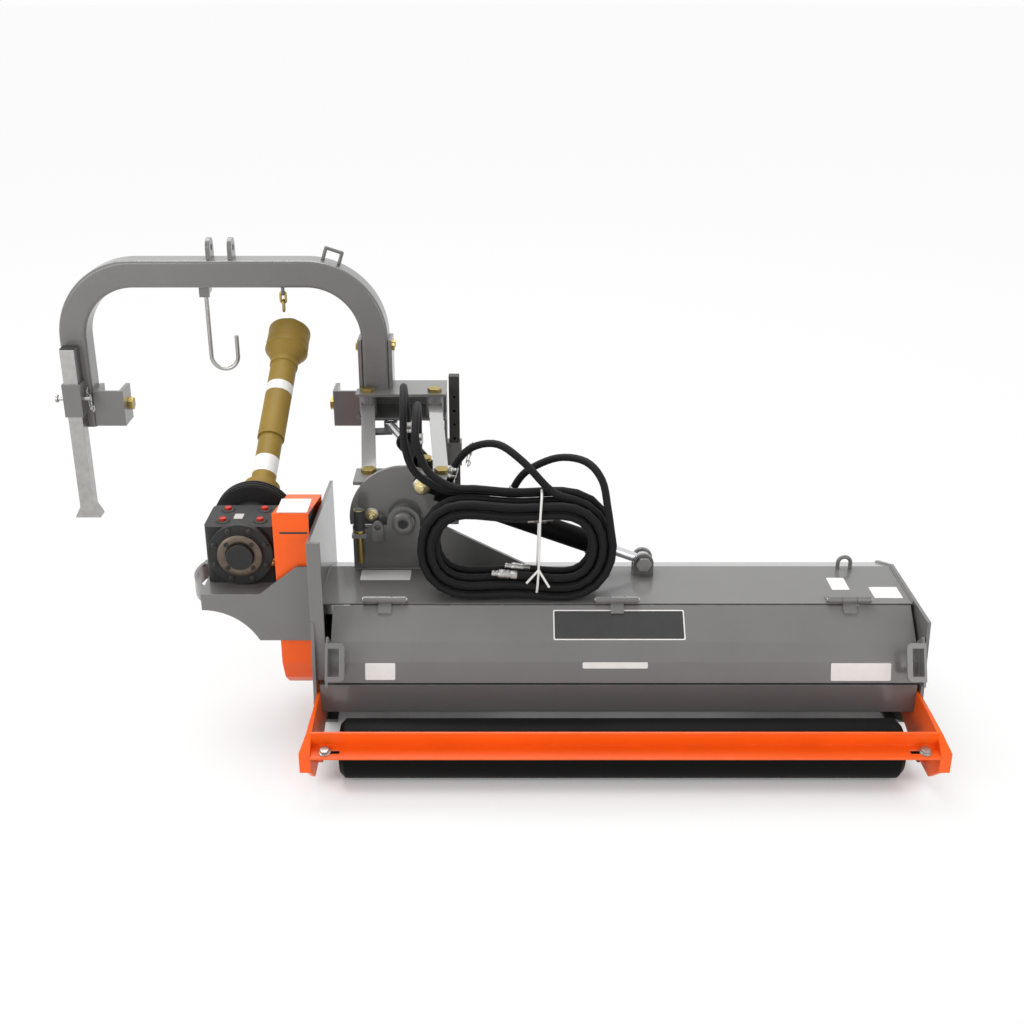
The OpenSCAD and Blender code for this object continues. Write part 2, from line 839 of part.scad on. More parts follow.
module deck_bolts() {
  color("silver") both_sides() {
    at_bar_bolt() {
      cylinder(r = bolt_washer_r, h = bolt_washer_t);
      hex_z([0, 0, bolt_washer_t], bolt_head_r, bolt_head_h);
      rod_z([0, 0, -bar_t - bolt_head_h], bar_slot_w / 2 - side_gap, bar_t + bolt_head_h);
    }
    for (s = bracket_bolt_shares)
      hex_x([right_out, plate_rear_y + (bracket_front_y - plate_rear_y) * s, bracket_bolt_z],
        bolt_head_r, bolt_head_h);
  }
}

// Rotor with its swinging flails
function flail_x(row, i) = flail_margin - half_w + (i * row_count + row) * flail_pitch;
module at_rotor(row) { translate([0, rotor_y, rotor_z]) rotate([row * 360 / row_count, 0, 0]) children(); }
module rotor_drum() {
  r = rotor_d / 2;
  tube_half = half_w - rotor_end_gap;
  grip = ear_gap + 2 * ear_t;
  color("dimgray") {
    translate([0, rotor_y, rotor_z]) {
      difference() {
        rod_x([-tube_half, 0, 0], r, 2 * tube_half);
        rod_x([rotor_wall - tube_half, 0, 0], r - rotor_wall, 2 * (tube_half - rotor_wall));
      }
      rod_x([pulley_x - pulley_w / 2, 0, 0], stub_r, rotor_wall - tube_half - pulley_x + pulley_w / 2);
      rod_x([tube_half - rotor_wall, 0, 0], stub_r, right_out + bearing_hub_t - tube_half + rotor_wall);
    }
    for (row = [0 : row_count - 1], i = [0 : flails_per_row - 1], s = [-1, 1])
      at_rotor(row) translate([flail_x(row, i) + s * (ear_gap + ear_t) / 2, 0, 0])
        along_x(-ear_t / 2, ear_t / 2) {
        translate([-ear_half_w, r - rotor_wall / 2])
          square([2 * ear_half_w, flail_pin_at_r - r + rotor_wall / 2]);
        translate([0, flail_pin_at_r]) circle(r = ear_half_w);
      }
    for (row = [0 : row_count - 1], i = [0 : flails_per_row - 1])
      at_rotor(row) translate([flail_x(row, i), 0, flail_pin_at_r]) {
        rod_x([-grip / 2, 0, 0], flail_pin_r, grip);
        both_sides() hex_x([grip / 2, 0, 0], flail_head_r, flail_head_h);
      }
  }
}
module flail_row(row) {
  w = ear_gap - 2 * side_gap;
  tip = flail_r - flail_pin_at_r;
  color("dimgray") for (i = [0 : flails_per_row - 1])
    at_rotor(row) translate([flail_x(row, i), 0, flail_pin_at_r]) difference() {
      union() {
        rod_x([-w / 2, 0, 0], flail_eye_r, w);
        along_y(-flail_thick / 2, flail_thick / 2)
          polygon([[-w / 2, 0], [w / 2, 0], [w / 2, flail_neck], [flail_tip_w / 2, flail_shoulder],
            [flail_tip_w / 2, tip], [-flail_tip_w / 2, tip], [-flail_tip_w / 2, flail_shoulder],
            [-w / 2, flail_neck]]);
      }
      rod_x([-w, 0, 0], flail_pin_r + run_gap, 2 * w);
      translate([0, flail_thick / 2, tip]) rotate([45, 0, 0])
        block([-flail_tip_w, -flail_edge, -flail_edge], [flail_tip_w, flail_edge, flail_edge]);
    }
}
module flails_row_1() { flail_row(0); }
module flails_row_2() { flail_row(1); }
module flails_row_3() { flail_row(2); }
module flails_row_4() { flail_row(3); }
module rotor_bearing() {
  difference() {
    union() {
      rod_x([0, rotor_y, rotor_z], bearing_r, bearing_t);
      rod_x([0, rotor_y, rotor_z], bearing_hub_r, bearing_hub_t);
      for (a = [45 : 90 : 315])
        translate([0, rotor_y, rotor_z]) rotate([a, 0, 0])
          hex_x([bearing_t, 0, bearing_bolt_r], bolt_head_r, bolt_head_h);
    }
    rod_x([-over, rotor_y, rotor_z], stub_r + run_gap, bearing_hub_t + 2 * over);
  }
}
module rotor_bearings() {
  color("black") for (x = [-half_w, right_out]) translate([x, 0, 0]) rotor_bearing();
}

// Belt drive behind its guard
function turned(v, a) = [v[0] * cos(a) - v[1] * sin(a), v[0] * sin(a) + v[1] * cos(a)];
module belt_loop_outline(c1, r1, c2, r2) {
  d = unit(c2 - c1);
  b = acos((r1 - r2) / norm(c2 - c1));
  polygon([c1 + r1 * turned(d, b), c2 + r2 * turned(d, b),
    c2 + r2 * turned(d, -b), c1 + r1 * turned(d, -b)]);
  translate(c1) circle(r = r1);
  translate(c2) circle(r = r2);
}
function belt_x(i) = pulley_x + (i - (belt_count - 1) / 2) * belt_pitch;
module drive_belts() {
  c1 = [gearbox_y, gearbox_z];
  c2 = [rotor_y, rotor_z];
  color("black") for (i = [0 : belt_count - 1])
    along_x(belt_x(i) - belt_w / 2, belt_x(i) + belt_w / 2) difference() {
      belt_loop_outline(c1, drive_pulley_d / 2, c2, rotor_pulley_d / 2);
      belt_loop_outline(c1, drive_pulley_d / 2 - belt_t, c2, rotor_pulley_d / 2 - belt_t);
    }
}
module pulley(d, bore_r) {
  root_r = d / 2 - belt_t - belt_gap;
  difference() {
    rod_x([pulley_x - pulley_w / 2, 0, 0], d / 2, pulley_w);
    for (i = [0 : belt_count - 1]) difference() {
      rod_x([belt_x(i) - belt_w / 2 - belt_gap, 0, 0], d, belt_w + 2 * belt_gap);
      rod_x([belt_x(i) - belt_w, 0, 0], root_r, 2 * belt_w);
    }
    rod_x([pulley_x - pulley_w, 0, 0], bore_r, 2 * pulley_w);
  }
}
module rotor_pulley() {
  color("gray") translate([0, rotor_y, rotor_z]) pulley(rotor_pulley_d, stub_r + run_gap);
}
module drive_pulley() {
  from = gearbox_x + gearbox_w / 2 - output_in;
  color("gray") translate([0, gearbox_y, gearbox_z]) {
    pulley(drive_pulley_d, output_r - over);
    rod_x([from, 0, 0], output_r, pulley_x + pulley_w / 2 - from);
  }
}
function inset(p, t) = [for (i = [0 : len(p) - 1])
  let (n = len(p), a = left_of(p[(i + n - 1) % n], p[i]), b = left_of(p[i], p[(i + 1) % n]))
  p[i] + t * (a + b) / (1 + a * b)];
function guard_outline() = [[guard_rear_y, guard_top_z], [guard_rear_y, guard_heel_z],
  [guard_rear_y + guard_heel_run, guard_low_z + guard_chamfer],
  [guard_rear_y + 2 * guard_chamfer, guard_low_z],
  [guard_front_y - guard_chamfer, guard_low_z], [guard_front_y, guard_low_z + guard_chamfer],
  [guard_front_y, guard_top_z - guard_top_drop]];
module belt_guard(from_z, to_z) {
  outer_x = left_out - guard_depth;
  intersection() {
    difference() {
      along_x(outer_x, left_out) polygon(guard_outline());
      along_x(outer_x + guard_t, left_out + over) polygon(inset(guard_outline(), guard_t));
      rod_x([outer_x - over, gearbox_y, gearbox_z], output_r + clear_gap, guard_t + 2 * over);
    }
    block([outer_x - over, guard_rear_y - over, from_z], [left_out + over, guard_front_y + over, to_z]);
  }
}
module belt_guard_upper() {
  color("orangered") belt_guard(guard_split_z + guard_split_gap / 2, guard_top_z + over);
}
module belt_guard_lower() {
  color("orangered") belt_guard(guard_low_z - over, guard_split_z - guard_split_gap / 2);
}

// Gearbox, its shelf and the guard bell round its input
module gearbox_case() {
  w = gearbox_w / 2 - gearbox_round;
  d = gearbox_half_d - gearbox_round;
  color("black") difference() {
    union() {
      translate([gearbox_x, gearbox_y, 0]) along_z(gearbox_z - gearbox_below, gearbox_z + gearbox_above) {
        square([2 * w, 2 * gearbox_half_d], center = true);
        square([gearbox_w, 2 * d], center = true);
        for (x = [-w, w], y = [-d, d]) translate([x, y]) circle(r = gearbox_round);
      }
      rod_y([gearbox_x, gearbox_y + gearbox_half_d, gearbox_z], neck_r, neck_l);
    }
    rod_x([gearbox_x + gearbox_w / 2 - output_in - over, gearbox_y, gearbox_z], output_r + run_gap,
      output_in + 2 * over);
    rod_y([gearbox_x, gearbox_y + gearbox_half_d, gearbox_z], shaft_bar_r + run_gap, neck_l + over);
    rod_y([gearbox_x, gearbox_y + gearbox_half_d + neck_base, gearbox_z], neck_r - neck_wall, neck_l);
  }
}
module gearbox_cap() {
  y = gearbox_y - gearbox_half_d;
  color("black") difference() {
    union() {
      rod_y([gearbox_x, y - cap_t, gearbox_z], cap_r, cap_t);
      rod_y([gearbox_x, y - cap_t - cap_ring_t, gearbox_z], cap_ring_r, cap_ring_t);
      rod_y([gearbox_x, y - cap_t - cap_ring_t - cap_hub_t, gearbox_z], cap_hub_r, cap_hub_t);
    }
    for (a = [0 : 90 : 270])
      translate([gearbox_x, 0, gearbox_z]) rotate([0, a, 0])
        rod_y([(cap_ring_r + cap_hub_r) / 2, y - cap_t - cap_ring_t - over, 0], cap_hole_r,
          cap_ring_t + over);
  }
}
module gearbox_plugs() {
  color("firebrick") for (x = [-1, 1], y = [-1, 1])
    rod_z([gearbox_x + x * plug_dx, gearbox_y + y * plug_dy, gearbox_z + gearbox_above], plug_r, plug_h);
}
module gearbox_shelf() {
  strap_r = gearbox_y - shelf_rear_y - shelf_t / 2;
  color("dimgray") {
    along_y(shelf_rear_y, shelf_rear_y + shelf_t) difference() {
      polygon([[shelf_left, shelf_top_z], [left_out - shelf_ear_run, shelf_top_z],
        [left_out - shelf_ear_w, shelf_top_z + shelf_ear_rise], [left_out, shelf_top_z + shelf_ear_rise],
        [left_out, shelf_top_z - apron_right_drop], [shelf_left, shelf_top_z - apron_right_drop]]);
      translate([shelf_left, shelf_top_z - apron_left_drop - apron_r]) circle(r = apron_r);
    }
    block([shelf_left, shelf_rear_y + shelf_t, shelf_top_z - shelf_t],
      [left_out - guard_depth - gearbox_gap / 2, shelf_front_y, shelf_top_z]);
    block([gearbox_x - strap_r + shelf_t, shelf_front_y - strap_foot, shelf_top_z - shelf_t],
      [shelf_left, shelf_front_y, shelf_top_z]);
    translate([gearbox_x, gearbox_y, shelf_top_z - strap_h]) rotate([0, 0, 150])
      rotate_extrude(angle = 120) translate([strap_r - shelf_t / 2, 0]) square([shelf_t, strap_h]);
  }
}
module drive_bell() {
  color("black") translate([gearbox_x, gearbox_y + gearbox_half_d + neck_l - bell_wall, gearbox_z])
    rotate([-90, 0, 0]) difference() {
      union() {
        cylinder(r = bell_r, h = bell_l);
        for (i = [0 : bell_ribs - 1])
          translate([0, 0, bell_rib * (1 + 3 * i)]) cylinder(r = bell_r + bell_rib, h = bell_rib);
      }
      translate([0, 0, bell_wall]) cylinder(r = bell_r - bell_wall, h = bell_l);
      translate([0, 0, -over]) cylinder(r = neck_r + run_gap, h = bell_l);
    }
}

// Deck pivot: a two-plate bracket, the tilt shaft and the lock pin
module pivot_bracket() {
  low = on_line(brow, nose, pivot_front_y);
  in_rear_y = pivot_rear_y + pivot_t / 2;
  in_front = on_line(brow, nose, pivot_front_y + pivot_t / 2);
  color("gray") difference() {
    union() {
      along_y(pivot_rear_y, pivot_rear_y + pivot_t) {
        polygon([[hub_x - pivot_left_w, deck_top_z], [hub_x + pivot_right_w, deck_top_z],
          [hub_x + pivot_right_w, deck_top_z + pivot_toe_h], [hub_x + pivot_top_w, pivot_top_z],
          [hub_x - pivot_left_w, pivot_top_z]]);
        translate([hub_x, hub_z]) circle(r = pivot_boss_r);
      }
      along_y(pivot_front_y, pivot_front_y + pivot_t) {
        translate([hub_x - front_plate_half, low[1] + pivot_toe_h])
          square([2 * front_plate_half, gusset_top_z - low[1] - pivot_toe_h]);
        polygon([[hub_x - front_plate_half, gusset_top_z], [hub_x + front_plate_half, gusset_top_z],
          [hub_x + pivot_boss_r, hub_z], [hub_x - pivot_boss_r, hub_z]]);
        translate([hub_x, hub_z]) circle(r = pivot_boss_r);
      }
      for (s = [-1, 1]) translate([hub_x + s * gusset_dx, 0, 0]) along_x(-gusset_t / 2, gusset_t / 2)
        polygon([[in_rear_y, deck_top_z], [deck_front_y, deck_top_z], brow, in_front,
          [in_front[0], gusset_top_z], [in_rear_y, gusset_top_z]]);
    }
    rod_y([hub_x, pivot_rear_y - over, hub_z], tilt_pin_r + run_gap, pivot_span + pivot_t + 2 * over);
  }
  color("gray") lock_pin_lug();
  color("gray") lashing_lug();
}
module lock_pin_lug() {
  difference() {
    block([lock_x - lock_lug_w / 2, pivot_rear_y - lock_lug_out, lock_lug_z],
      [lock_x + lock_lug_w / 2, pivot_rear_y, lock_lug_z + lock_lug_t]);
    rod_z([lock_x, lock_y, lock_lug_z - over], lock_pin_r + run_gap, lock_lug_t + 2 * over);
  }
}
module lashing_lug() {
  along_y(pivot_rear_y - lashing_t, pivot_rear_y) difference() {
    union() {
      translate([lashing_x - lashing_r, pivot_top_z - lashing_low]) square([2 * lashing_r, lashing_low]);
      translate([lashing_x, pivot_top_z]) circle(r = lashing_r);
    }
    translate([lashing_x, pivot_top_z]) circle(r = lashing_bore_r);
  }
}
module deck_pins() {
  grip = tilt_eye_t + 2 * tilt_lug_t + 2 * side_gap;
  color("silver") {
    rod_y([hub_x, pivot_rear_y - tilt_head_t, hub_z], tilt_head_r, tilt_head_t);
    rod_y([hub_x, pivot_rear_y, hub_z], tilt_pin_r, pivot_span + pivot_t);
    rod_y([hub_x, pivot_front_y + pivot_t, hub_z], tilt_head_r, tilt_head_t);
  }
  color("goldenrod") translate([tilt_lug[0], tilt_y, tilt_lug[1]]) {
    rod_y([0, -grip / 2, 0], tilt_eye_pin_r, grip);
    for (y = [-grip / 2 - pin_head_h, grip / 2]) hex_y([0, y, 0], pin_head_r, pin_head_h);
  }
  color("silver") for (x = hinge_xs)
    rod_x([x - hinge_pin_half, hinge_y, hinge_z], hood_pin_r, 2 * hinge_pin_half);
}
module lock_pin() {
  top = lock_lug_z + lock_lug_t;
  color("silver") {
    rod_z([lock_x, lock_y, top - lock_pin_l], lock_pin_r, lock_pin_l + lock_pin_up);
    rod_z([lock_x, lock_y, top], lock_collar_r, lock_collar_h);
  }
  color("black") rod_z([lock_x, lock_y, top + lock_collar_h], lock_grip_r, lock_grip_l);
}

// Turret: tilts on the deck shaft and carries the swing arms
module turret() {
  color("gray") difference() {
    union() {
      rod_y([hub_x, pivot_rear_y + pivot_t + side_gap, hub_z], turret_hub_r,
        pivot_span - pivot_t - 2 * side_gap);
      along_y(disc_y, disc_y + disc_t) intersection() {
        translate([hub_x, hub_z]) circle(r = disc_r);
        translate([hub_x - disc_r, hub_z - disc_low]) square([2 * disc_r, disc_r + disc_low]);
      }
      for (z = [clevis_low_z, clevis_top_z])
        block([hub_x - clevis_half, disc_y + disc_t, z],
          [hub_x + clevis_half, clevis_front_y, z + clevis_t]);
      block([hub_x - clevis_web_half, disc_y + disc_t, clevis_low_z],
        [hub_x + clevis_web_half, arm_base_y - arm_boss_r - clear_gap, clevis_top_z]);
      rod_z([shift_pin[0], shift_pin[1], clevis_top_z], shift_post_r,
        shift_z - shift_eye_t / 2 - side_gap - clevis_top_z);
      rod_y([tilt_anchor[0], tilt_y + tilt_eye_t / 2 + side_gap, tilt_anchor[1]], tilt_eye_r,
        disc_y - tilt_y - tilt_eye_t / 2 - side_gap);
    }
    rod_y([hub_x, pivot_rear_y, hub_z], tilt_pin_r + run_gap, pivot_span + pivot_t);
    for (x = arm_base_x) rod_z([x, arm_base_y, clevis_low_z - over], arm_pin_r + run_gap,
      clevis_top_z + clevis_t - clevis_low_z + 2 * over);
  }
}
module arm_pins_at(x, y, from_z, to_z) {
  rod_z([x, y, from_z], arm_pin_r, to_z - from_z);
  hex_z([x, y, to_z], pin_head_r, pin_head_h);
  hex_z([x, y, from_z - pin_head_h], pin_head_r, pin_head_h);
}
module turret_pins() {
  color("goldenrod") {
    for (x = arm_base_x) arm_pins_at(x, arm_base_y, clevis_low_z, clevis_top_z + clevis_t);
    rod_z([shift_pin[0], shift_pin[1], shift_z - shift_eye_t / 2 - side_gap], shift_pin_r,
      shift_eye_t + 2 * side_gap);
    rod_z([shift_pin[0], shift_pin[1], shift_z + shift_eye_t / 2 + side_gap], shift_post_r, pin_head_h);
  }
}

// Swing arms
module arm(i) {
  base = [arm_base_x[i], arm_base_y, arm_base_z + arm_boss_h / 2];
  reach = [-arm_lean, arm_reach, arm_climb];
  plan = norm([arm_lean, arm_reach]);
  difference() {
    union() {
      rod_z([base[0], base[1], arm_base_z], arm_boss_r, arm_boss_h);
      rod_z([base[0] - arm_lean, base[1] + arm_reach, arm_top_z], arm_boss_r, arm_boss_h);
      translate(base) rotate([0, 0, atan2(arm_lean, arm_reach)]) along_x(-arm_w / 2, arm_w / 2)
        polygon([[0, -arm_h / 2], [plan, arm_climb - arm_h / 2], [plan, arm_climb + arm_h / 2],
          [0, arm_h / 2]]);
      children();
    }
    rod_z([base[0], base[1], arm_base_z - over], arm_pin_r + run_gap, arm_boss_h + 2 * over);
    rod_z([base[0] - arm_lean, base[1] + arm_reach, arm_top_z - over], arm_pin_r + run_gap,
      arm_boss_h + 2 * over);
  }
}
module left_swing_arm() {
  lug_top = shift_z - shift_eye_t / 2 - 2 * side_gap;
  on_arm = shift_lug - arm_right_of * shift_lug_in;
  color("gray") arm(0) {
    translate([on_arm[0], on_arm[1], lug_top - shift_lug_t])
      rotate([0, 0, atan2(arm_right_of[1], arm_right_of[0])])
        block([0, -shift_eye_r, 0], [shift_lug_in, shift_eye_r, shift_lug_t]);
    rod_z([shift_lug[0], shift_lug[1], lug_top - shift_lug_t], shift_eye_r, shift_lug_t);
  }
}
module right_swing_arm() { color("gray") arm(1); }

// Hydraulic cylinders, each drawn along its own +X from its first pivot
module at_shift() { translate([shift_pin[0], shift_pin[1], shift_z]) rotate([0, 0, shift_turn]) children(); }
module at_tilt() {
  translate([tilt_anchor[0], tilt_y, tilt_anchor[1]]) rotate([0, -tilt_turn, 0])
    rotate([-90, 0, 0]) children();
}
module cylinder_barrel(d, eye_r, eye_t, pin_r, from, to, gland_l, port_step, port_turn) {
  difference() {
    union() {
      translate([0, 0, -eye_t / 2]) cylinder(r = eye_r, h = eye_t);
      block([0, -eye_t / 2, -eye_t / 2], [from, eye_t / 2, eye_t / 2]);
      rod_x([from, 0, 0], d / 2, to - from - gland_l);
      rod_x([to - gland_l, 0, 0], d / 2 + gland_lip, gland_l);
      for (x = [from + port_inset, from + port_inset + port_step])
        translate([x, 0, 0]) rotate([port_turn, 0, 0]) cylinder(r = port_r, h = d / 2 + port_h);
    }
    translate([0, 0, -eye_t]) cylinder(r = pin_r + run_gap, h = 2 * eye_t);
    rod_x([to - (to - from) * barrel_bore_share, 0, 0], cylinder_rod_d / 2 + run_gap, to);
  }
}
module cylinder_rod(eye_r, eye_t, pin_r, from, l) {
  difference() {
    union() {
      rod_x([from, 0, 0], cylinder_rod_d / 2, l - from);
      translate([l, 0, -eye_t / 2]) cylinder(r = eye_r, h = eye_t);
    }
    translate([l, 0, -eye_t]) cylinder(r = pin_r + run_gap, h = 2 * eye_t);
  }
}
module shift_barrel() {
  color("black") at_shift() cylinder_barrel(shift_barrel_d, shift_eye_r, shift_eye_t, shift_pin_r,
    shift_body_from, shift_body_from + shift_body_len, shift_gland_l, shift_port_step, 0);
}
module shift_rod() {
  color("silver") at_shift() cylinder_rod(shift_eye_r, shift_eye_t, shift_pin_r,
    shift_body_from + shift_body_len - shift_rod_in, shift_len);
}
module tilt_barrel() {
  color("black") at_tilt()
    cylinder_barrel(tilt_barrel_d, tilt_eye_r, tilt_eye_t, tilt_eye_pin_r,
    tilt_body_from, tilt_body_end, tilt_gland_l, tilt_port_step, 90);
}
module tilt_rod() {
  color("silver") at_tilt()
    cylinder_rod(tilt_eye_r, tilt_eye_t, tilt_eye_pin_r, tilt_body_end - tilt_rod_in, tilt_len);
}
module deck_lugs() {
  color("gray") {
    difference() {
      for (s = [-1, 1]) translate([0, tilt_y + s * (tilt_eye_t + tilt_lug_t + 2 * side_gap) / 2, 0])
        along_y(-tilt_lug_t / 2, tilt_lug_t / 2) {
          translate([tilt_lug[0] - tilt_lug_half, deck_top_z])
            square([2 * tilt_lug_half, tilt_lug[1] - deck_top_z]);
          translate(tilt_lug) circle(r = tilt_lug_half);
        }
      rod_y([tilt_lug[0], tilt_y - 2 * tilt_eye_t, tilt_lug[1]], tilt_eye_pin_r + run_gap, 4 * tilt_eye_t);
    }
    translate([loop_x, deck_front_y - loop_inset, deck_top_z]) {
      for (s = [-1, 1]) rod_z([s * loop_r, 0, 0], wire_r, loop_rise);
      translate([0, 0, loop_rise]) rotate([90, 0, 0])
        rotate_extrude(angle = 180) translate([loop_r, 0]) circle(r = wire_r);
    }
  }
}

// Hitch frame: one bent square tube
module hitch_arch() {
  low_y = arch_mid_z - bend_r;
  color("dimgray") {
    for (leg = [[leg_left_x, leg_left_low_z], [leg_right_x, leg_right_low_z]])
      translate([leg[0], tube_y, 0]) along_z(leg[1], low_y) tube_section(tube_w, tube_wall, tube_round);
    translate([leg_left_x + bend_r, tube_y, low_y]) rotate([90, 0, 0]) rotate([0, 0, 90])
      rotate_extrude(angle = 90) translate([bend_r, 0]) tube_section(tube_w, tube_wall, tube_round);
    translate([leg_right_x - bend_r, tube_y, low_y]) rotate([90, 0, 0])
      rotate_extrude(angle = 90) translate([bend_r, 0]) tube_section(tube_w, tube_wall, tube_round);
    along_x(leg_left_x + bend_r, leg_right_x - bend_r) translate([tube_y, arch_mid_z])
      tube_section(tube_w, tube_wall, tube_round);
    translate([leg_left_x, tube_y, 0]) along_z(leg_left_low_z - leg_cap_t, leg_left_low_z)
      round_square(tube_w, tube_round);
    leg_sleeve(left_leg, left_leg_w, left_sleeve_z, left_sleeve_h);
  }
}
module arm_carrier() {
  in_y = arm_top_y + arm_boss_r + side_gap;
  color("dimgray") difference() {
    union() {
      for (z = [carrier_low_z, carrier_top_z]) {
        block([carrier_left, carrier_rear_y, z], [carrier_right, carrier_front_y, z + carrier_t]);
        block([carrier_left - carrier_step, carrier_rear_y, z], [carrier_left, in_y, z + carrier_t]);
      }
      block([carrier_left, carrier_front_y - carrier_t, carrier_low_z],
        [carrier_right, carrier_front_y, carrier_top_z]);
      block([carrier_right - carrier_t, tube_y - carrier_end_half, right_sleeve_z],
        [carrier_right, carrier_front_y, carrier_top_z + carrier_t]);
      translate([leg_right_x, tube_y, 0]) along_z(carrier_top_z + carrier_t, leg_right_low_z)
        tube_section(tube_w, tube_wall, tube_round);
      mirror_about(right_leg[0]) leg_sleeve(right_leg, right_leg_w, right_sleeve_z, right_sleeve_h);
      for (s = [-1, 1]) translate([leg_right_x + s * (tube_w + cheek_t) / 2, 0, 0])
        block([-cheek_t / 2, arch_y, carrier_top_z],
          [cheek_t / 2, arch_y + tube_w, leg_right_low_z + cheek_rise]);
    }
    for (x = arm_base_x) rod_z([x - arm_lean, arm_top_y, carrier_low_z - over], arm_pin_r + run_gap,
      carrier_top_z + carrier_t - carrier_low_z + 2 * over);
  }
}
module arch_pins() {
  far = hitch_gap + 2 * hitch_plate_t;
  color("goldenrod") {
    for (x = arm_base_x) arm_pins_at(x - arm_lean, arm_top_y, carrier_low_z, carrier_top_z + carrier_t);
    for (y = [arch_y + cheek_bolt_inset, arch_y + tube_w - cheek_bolt_inset], s = [0, 1])
      translate([leg_right_x, 0, 0]) mirror([s, 0, 0])
        hex_x([tube_w / 2 + cheek_t, y, cheek_bolt_z], bolt_head_r, bolt_head_h);
    hitch_side() {
      rod_x([0, tube_y + hitch_pin_ahead, hitch_z], hitch_pin_r, far);
      hex_x([far, tube_y + hitch_pin_ahead, hitch_z], hitch_nut_r, hitch_nut_t);
    }
  }
}
module hitch_side() {
  for (s = [0, 1]) translate([arch_x, 0, 0]) mirror([s, 0, 0])
    translate([tube_w - arch_w / 2, 0, 0]) children();
}
module hitch_ears() {
  far = hitch_gap + 2 * hitch_plate_t;
  color("dimgray") top_link_ears();
  color("dimgray") hitch_side() difference() {
    union() {
      for (x = [0, hitch_gap + hitch_plate_t])
        block([x, tube_y - hitch_half_y, hitch_z - hitch_half_h],
          [x + hitch_plate_t, tube_y + hitch_half_y, hitch_z + hitch_half_h]);
      block([0, tube_y - hitch_half_y, hitch_z - hitch_half_h],
        [far, tube_y - hitch_half_y + hitch_web_t, hitch_z + hitch_half_h]);
    }
    rod_x([-over, tube_y + hitch_pin_ahead, hitch_z], hitch_pin_r + run_gap, far + 2 * over);
  }
}
module top_link_ears() {
  for (s = [-1, 1]) translate([ear_x + s * (ear_plate_gap + ear_plate_t) / 2, 0, 0])
    along_x(-ear_plate_t / 2, ear_plate_t / 2) difference() {
      union() {
        translate([tube_y - ear_plate_r, arch_top_z]) square([2 * ear_plate_r, ear_bore_up]);
        translate([tube_y, arch_top_z + ear_bore_up]) circle(r = ear_plate_r);
      }
      translate([tube_y, arch_top_z + ear_bore_up]) circle(r = top_link_bore / 2);
    }
}
module arch_lugs() {
  color("dimgray") wire_handle();
  color("dimgray") hook_lug();
  color("dimgray") chain_lug();
}
// Square wire handle, its feet on the shoulder of the bend
module wire_handle() {
  half = handle_span / 2;
  out = bend_r + tube_w / 2;
  foot = sqrt(out * out - (half - wire_r) * (half - wire_r));
  top = out + handle_rise;
  translate([leg_right_x - bend_r, tube_y, arch_mid_z - bend_r]) rotate([0, wire_handle_turn, 0]) {
    for (s = [-1, 1]) {
      rod_z([s * half, 0, foot], wire_r, top - foot);
      translate([s * half, 0, top]) sphere(r = wire_r);
    }
    rod_x([-half, 0, top], wire_r, handle_span);
  }
}
module hook_lug() {
  z = arch_top_z - tube_w - hook_eye_r - clear_gap;
  block([hook_x - hook_eye_r, tube_y - hook_lug_t, z - hook_eye_r],
    [hook_x + hook_eye_r, tube_y, arch_top_z - tube_w]);
  rod_y([hook_x, tube_y, z], hook_stud_r, hook_stud_l);
  rod_y([hook_x, tube_y + hook_stud_l, z], hook_eye_r, hook_lug_t / 2);
}
module shaft_hook() {
  z = arch_top_z - tube_w - hook_eye_r - clear_gap;
  y = tube_y + side_gap;
  color("dimgray") difference() {
    union() {
      rod_y([hook_x, y, z], hook_eye_r, hook_stud_l - 2 * side_gap);
      rod_z([hook_x, y + hook_stud_l / 2, z - hook_drop], hook_rod_r, hook_drop);
      translate([hook_x + hook_bend_r, y + hook_stud_l / 2, z - hook_drop])
        rotate([90, 0, 0]) rotate([0, 0, 180]) rotate_extrude(angle = 180)
          translate([hook_bend_r, 0]) circle(r = hook_rod_r);
      rod_z([hook_x + 2 * hook_bend_r, y + hook_stud_l / 2, z - hook_drop], hook_rod_r, hook_tip);
    }
    rod_y([hook_x, y - over, z], hook_stud_r + run_gap, hook_stud_l + 2 * over);
  }
}

// Parking legs in their sleeves
module square_tube(w, wall, from, to) {
  along_z(from, to) difference() {
    square(w, center = true);
    square(w - 2 * wall, center = true);
  }
}
module leg_sleeve(at, w, from, h) {
  out = w + 2 * (sleeve_gap + sleeve_wall);
  translate([at[0], at[1], 0]) difference() {
    square_tube(out, sleeve_wall, from, from + h);
    rod_x([-out, 0, from + h / 2], stand_pin_r + run_gap, out);
  }
}
module mirror_about(x) { translate([2 * x, 0, 0]) mirror([1, 0, 0]) children(); }
module leg_pin(at, w, z) {
  reach = w / 2 + sleeve_gap;
  out = at[0] - reach - sleeve_wall - stand_pin_over;
  rod_x([out, at[1], z], stand_pin_r, sleeve_wall + stand_pin_over);
  rod_x([out - stand_pin_r, at[1], z], stand_pin_over / 2, stand_pin_r);
}
module leg_pins() {
  color("silver") leg_pin(left_leg, left_leg_w, left_sleeve_z + left_sleeve_h / 2);
  color("silver") mirror_about(right_leg[0])
    leg_pin(right_leg, right_leg_w, right_sleeve_z + right_sleeve_h / 2);
}
module left_parking_leg() {
  w = left_leg_w / 2;
  color("lightgray") translate([left_leg[0], left_leg[1], 0]) {
    square_tube(left_leg_w, leg_wall, left_leg_foot_z + foot_h, left_leg_top_z);
    along_z(left_leg_top_z, left_leg_top_z + leg_wall) square(left_leg_w, center = true);
    translate([0, w, left_leg_foot_z]) rotate([90, 0, 0]) linear_extrude(left_leg_w)
      polygon([[-w - foot_flare, 0], [w + foot_flare, 0], [w + foot_flare, leg_wall], [w, foot_h],
        [-w, foot_h], [-w - foot_flare, leg_wall]]);
  }
}
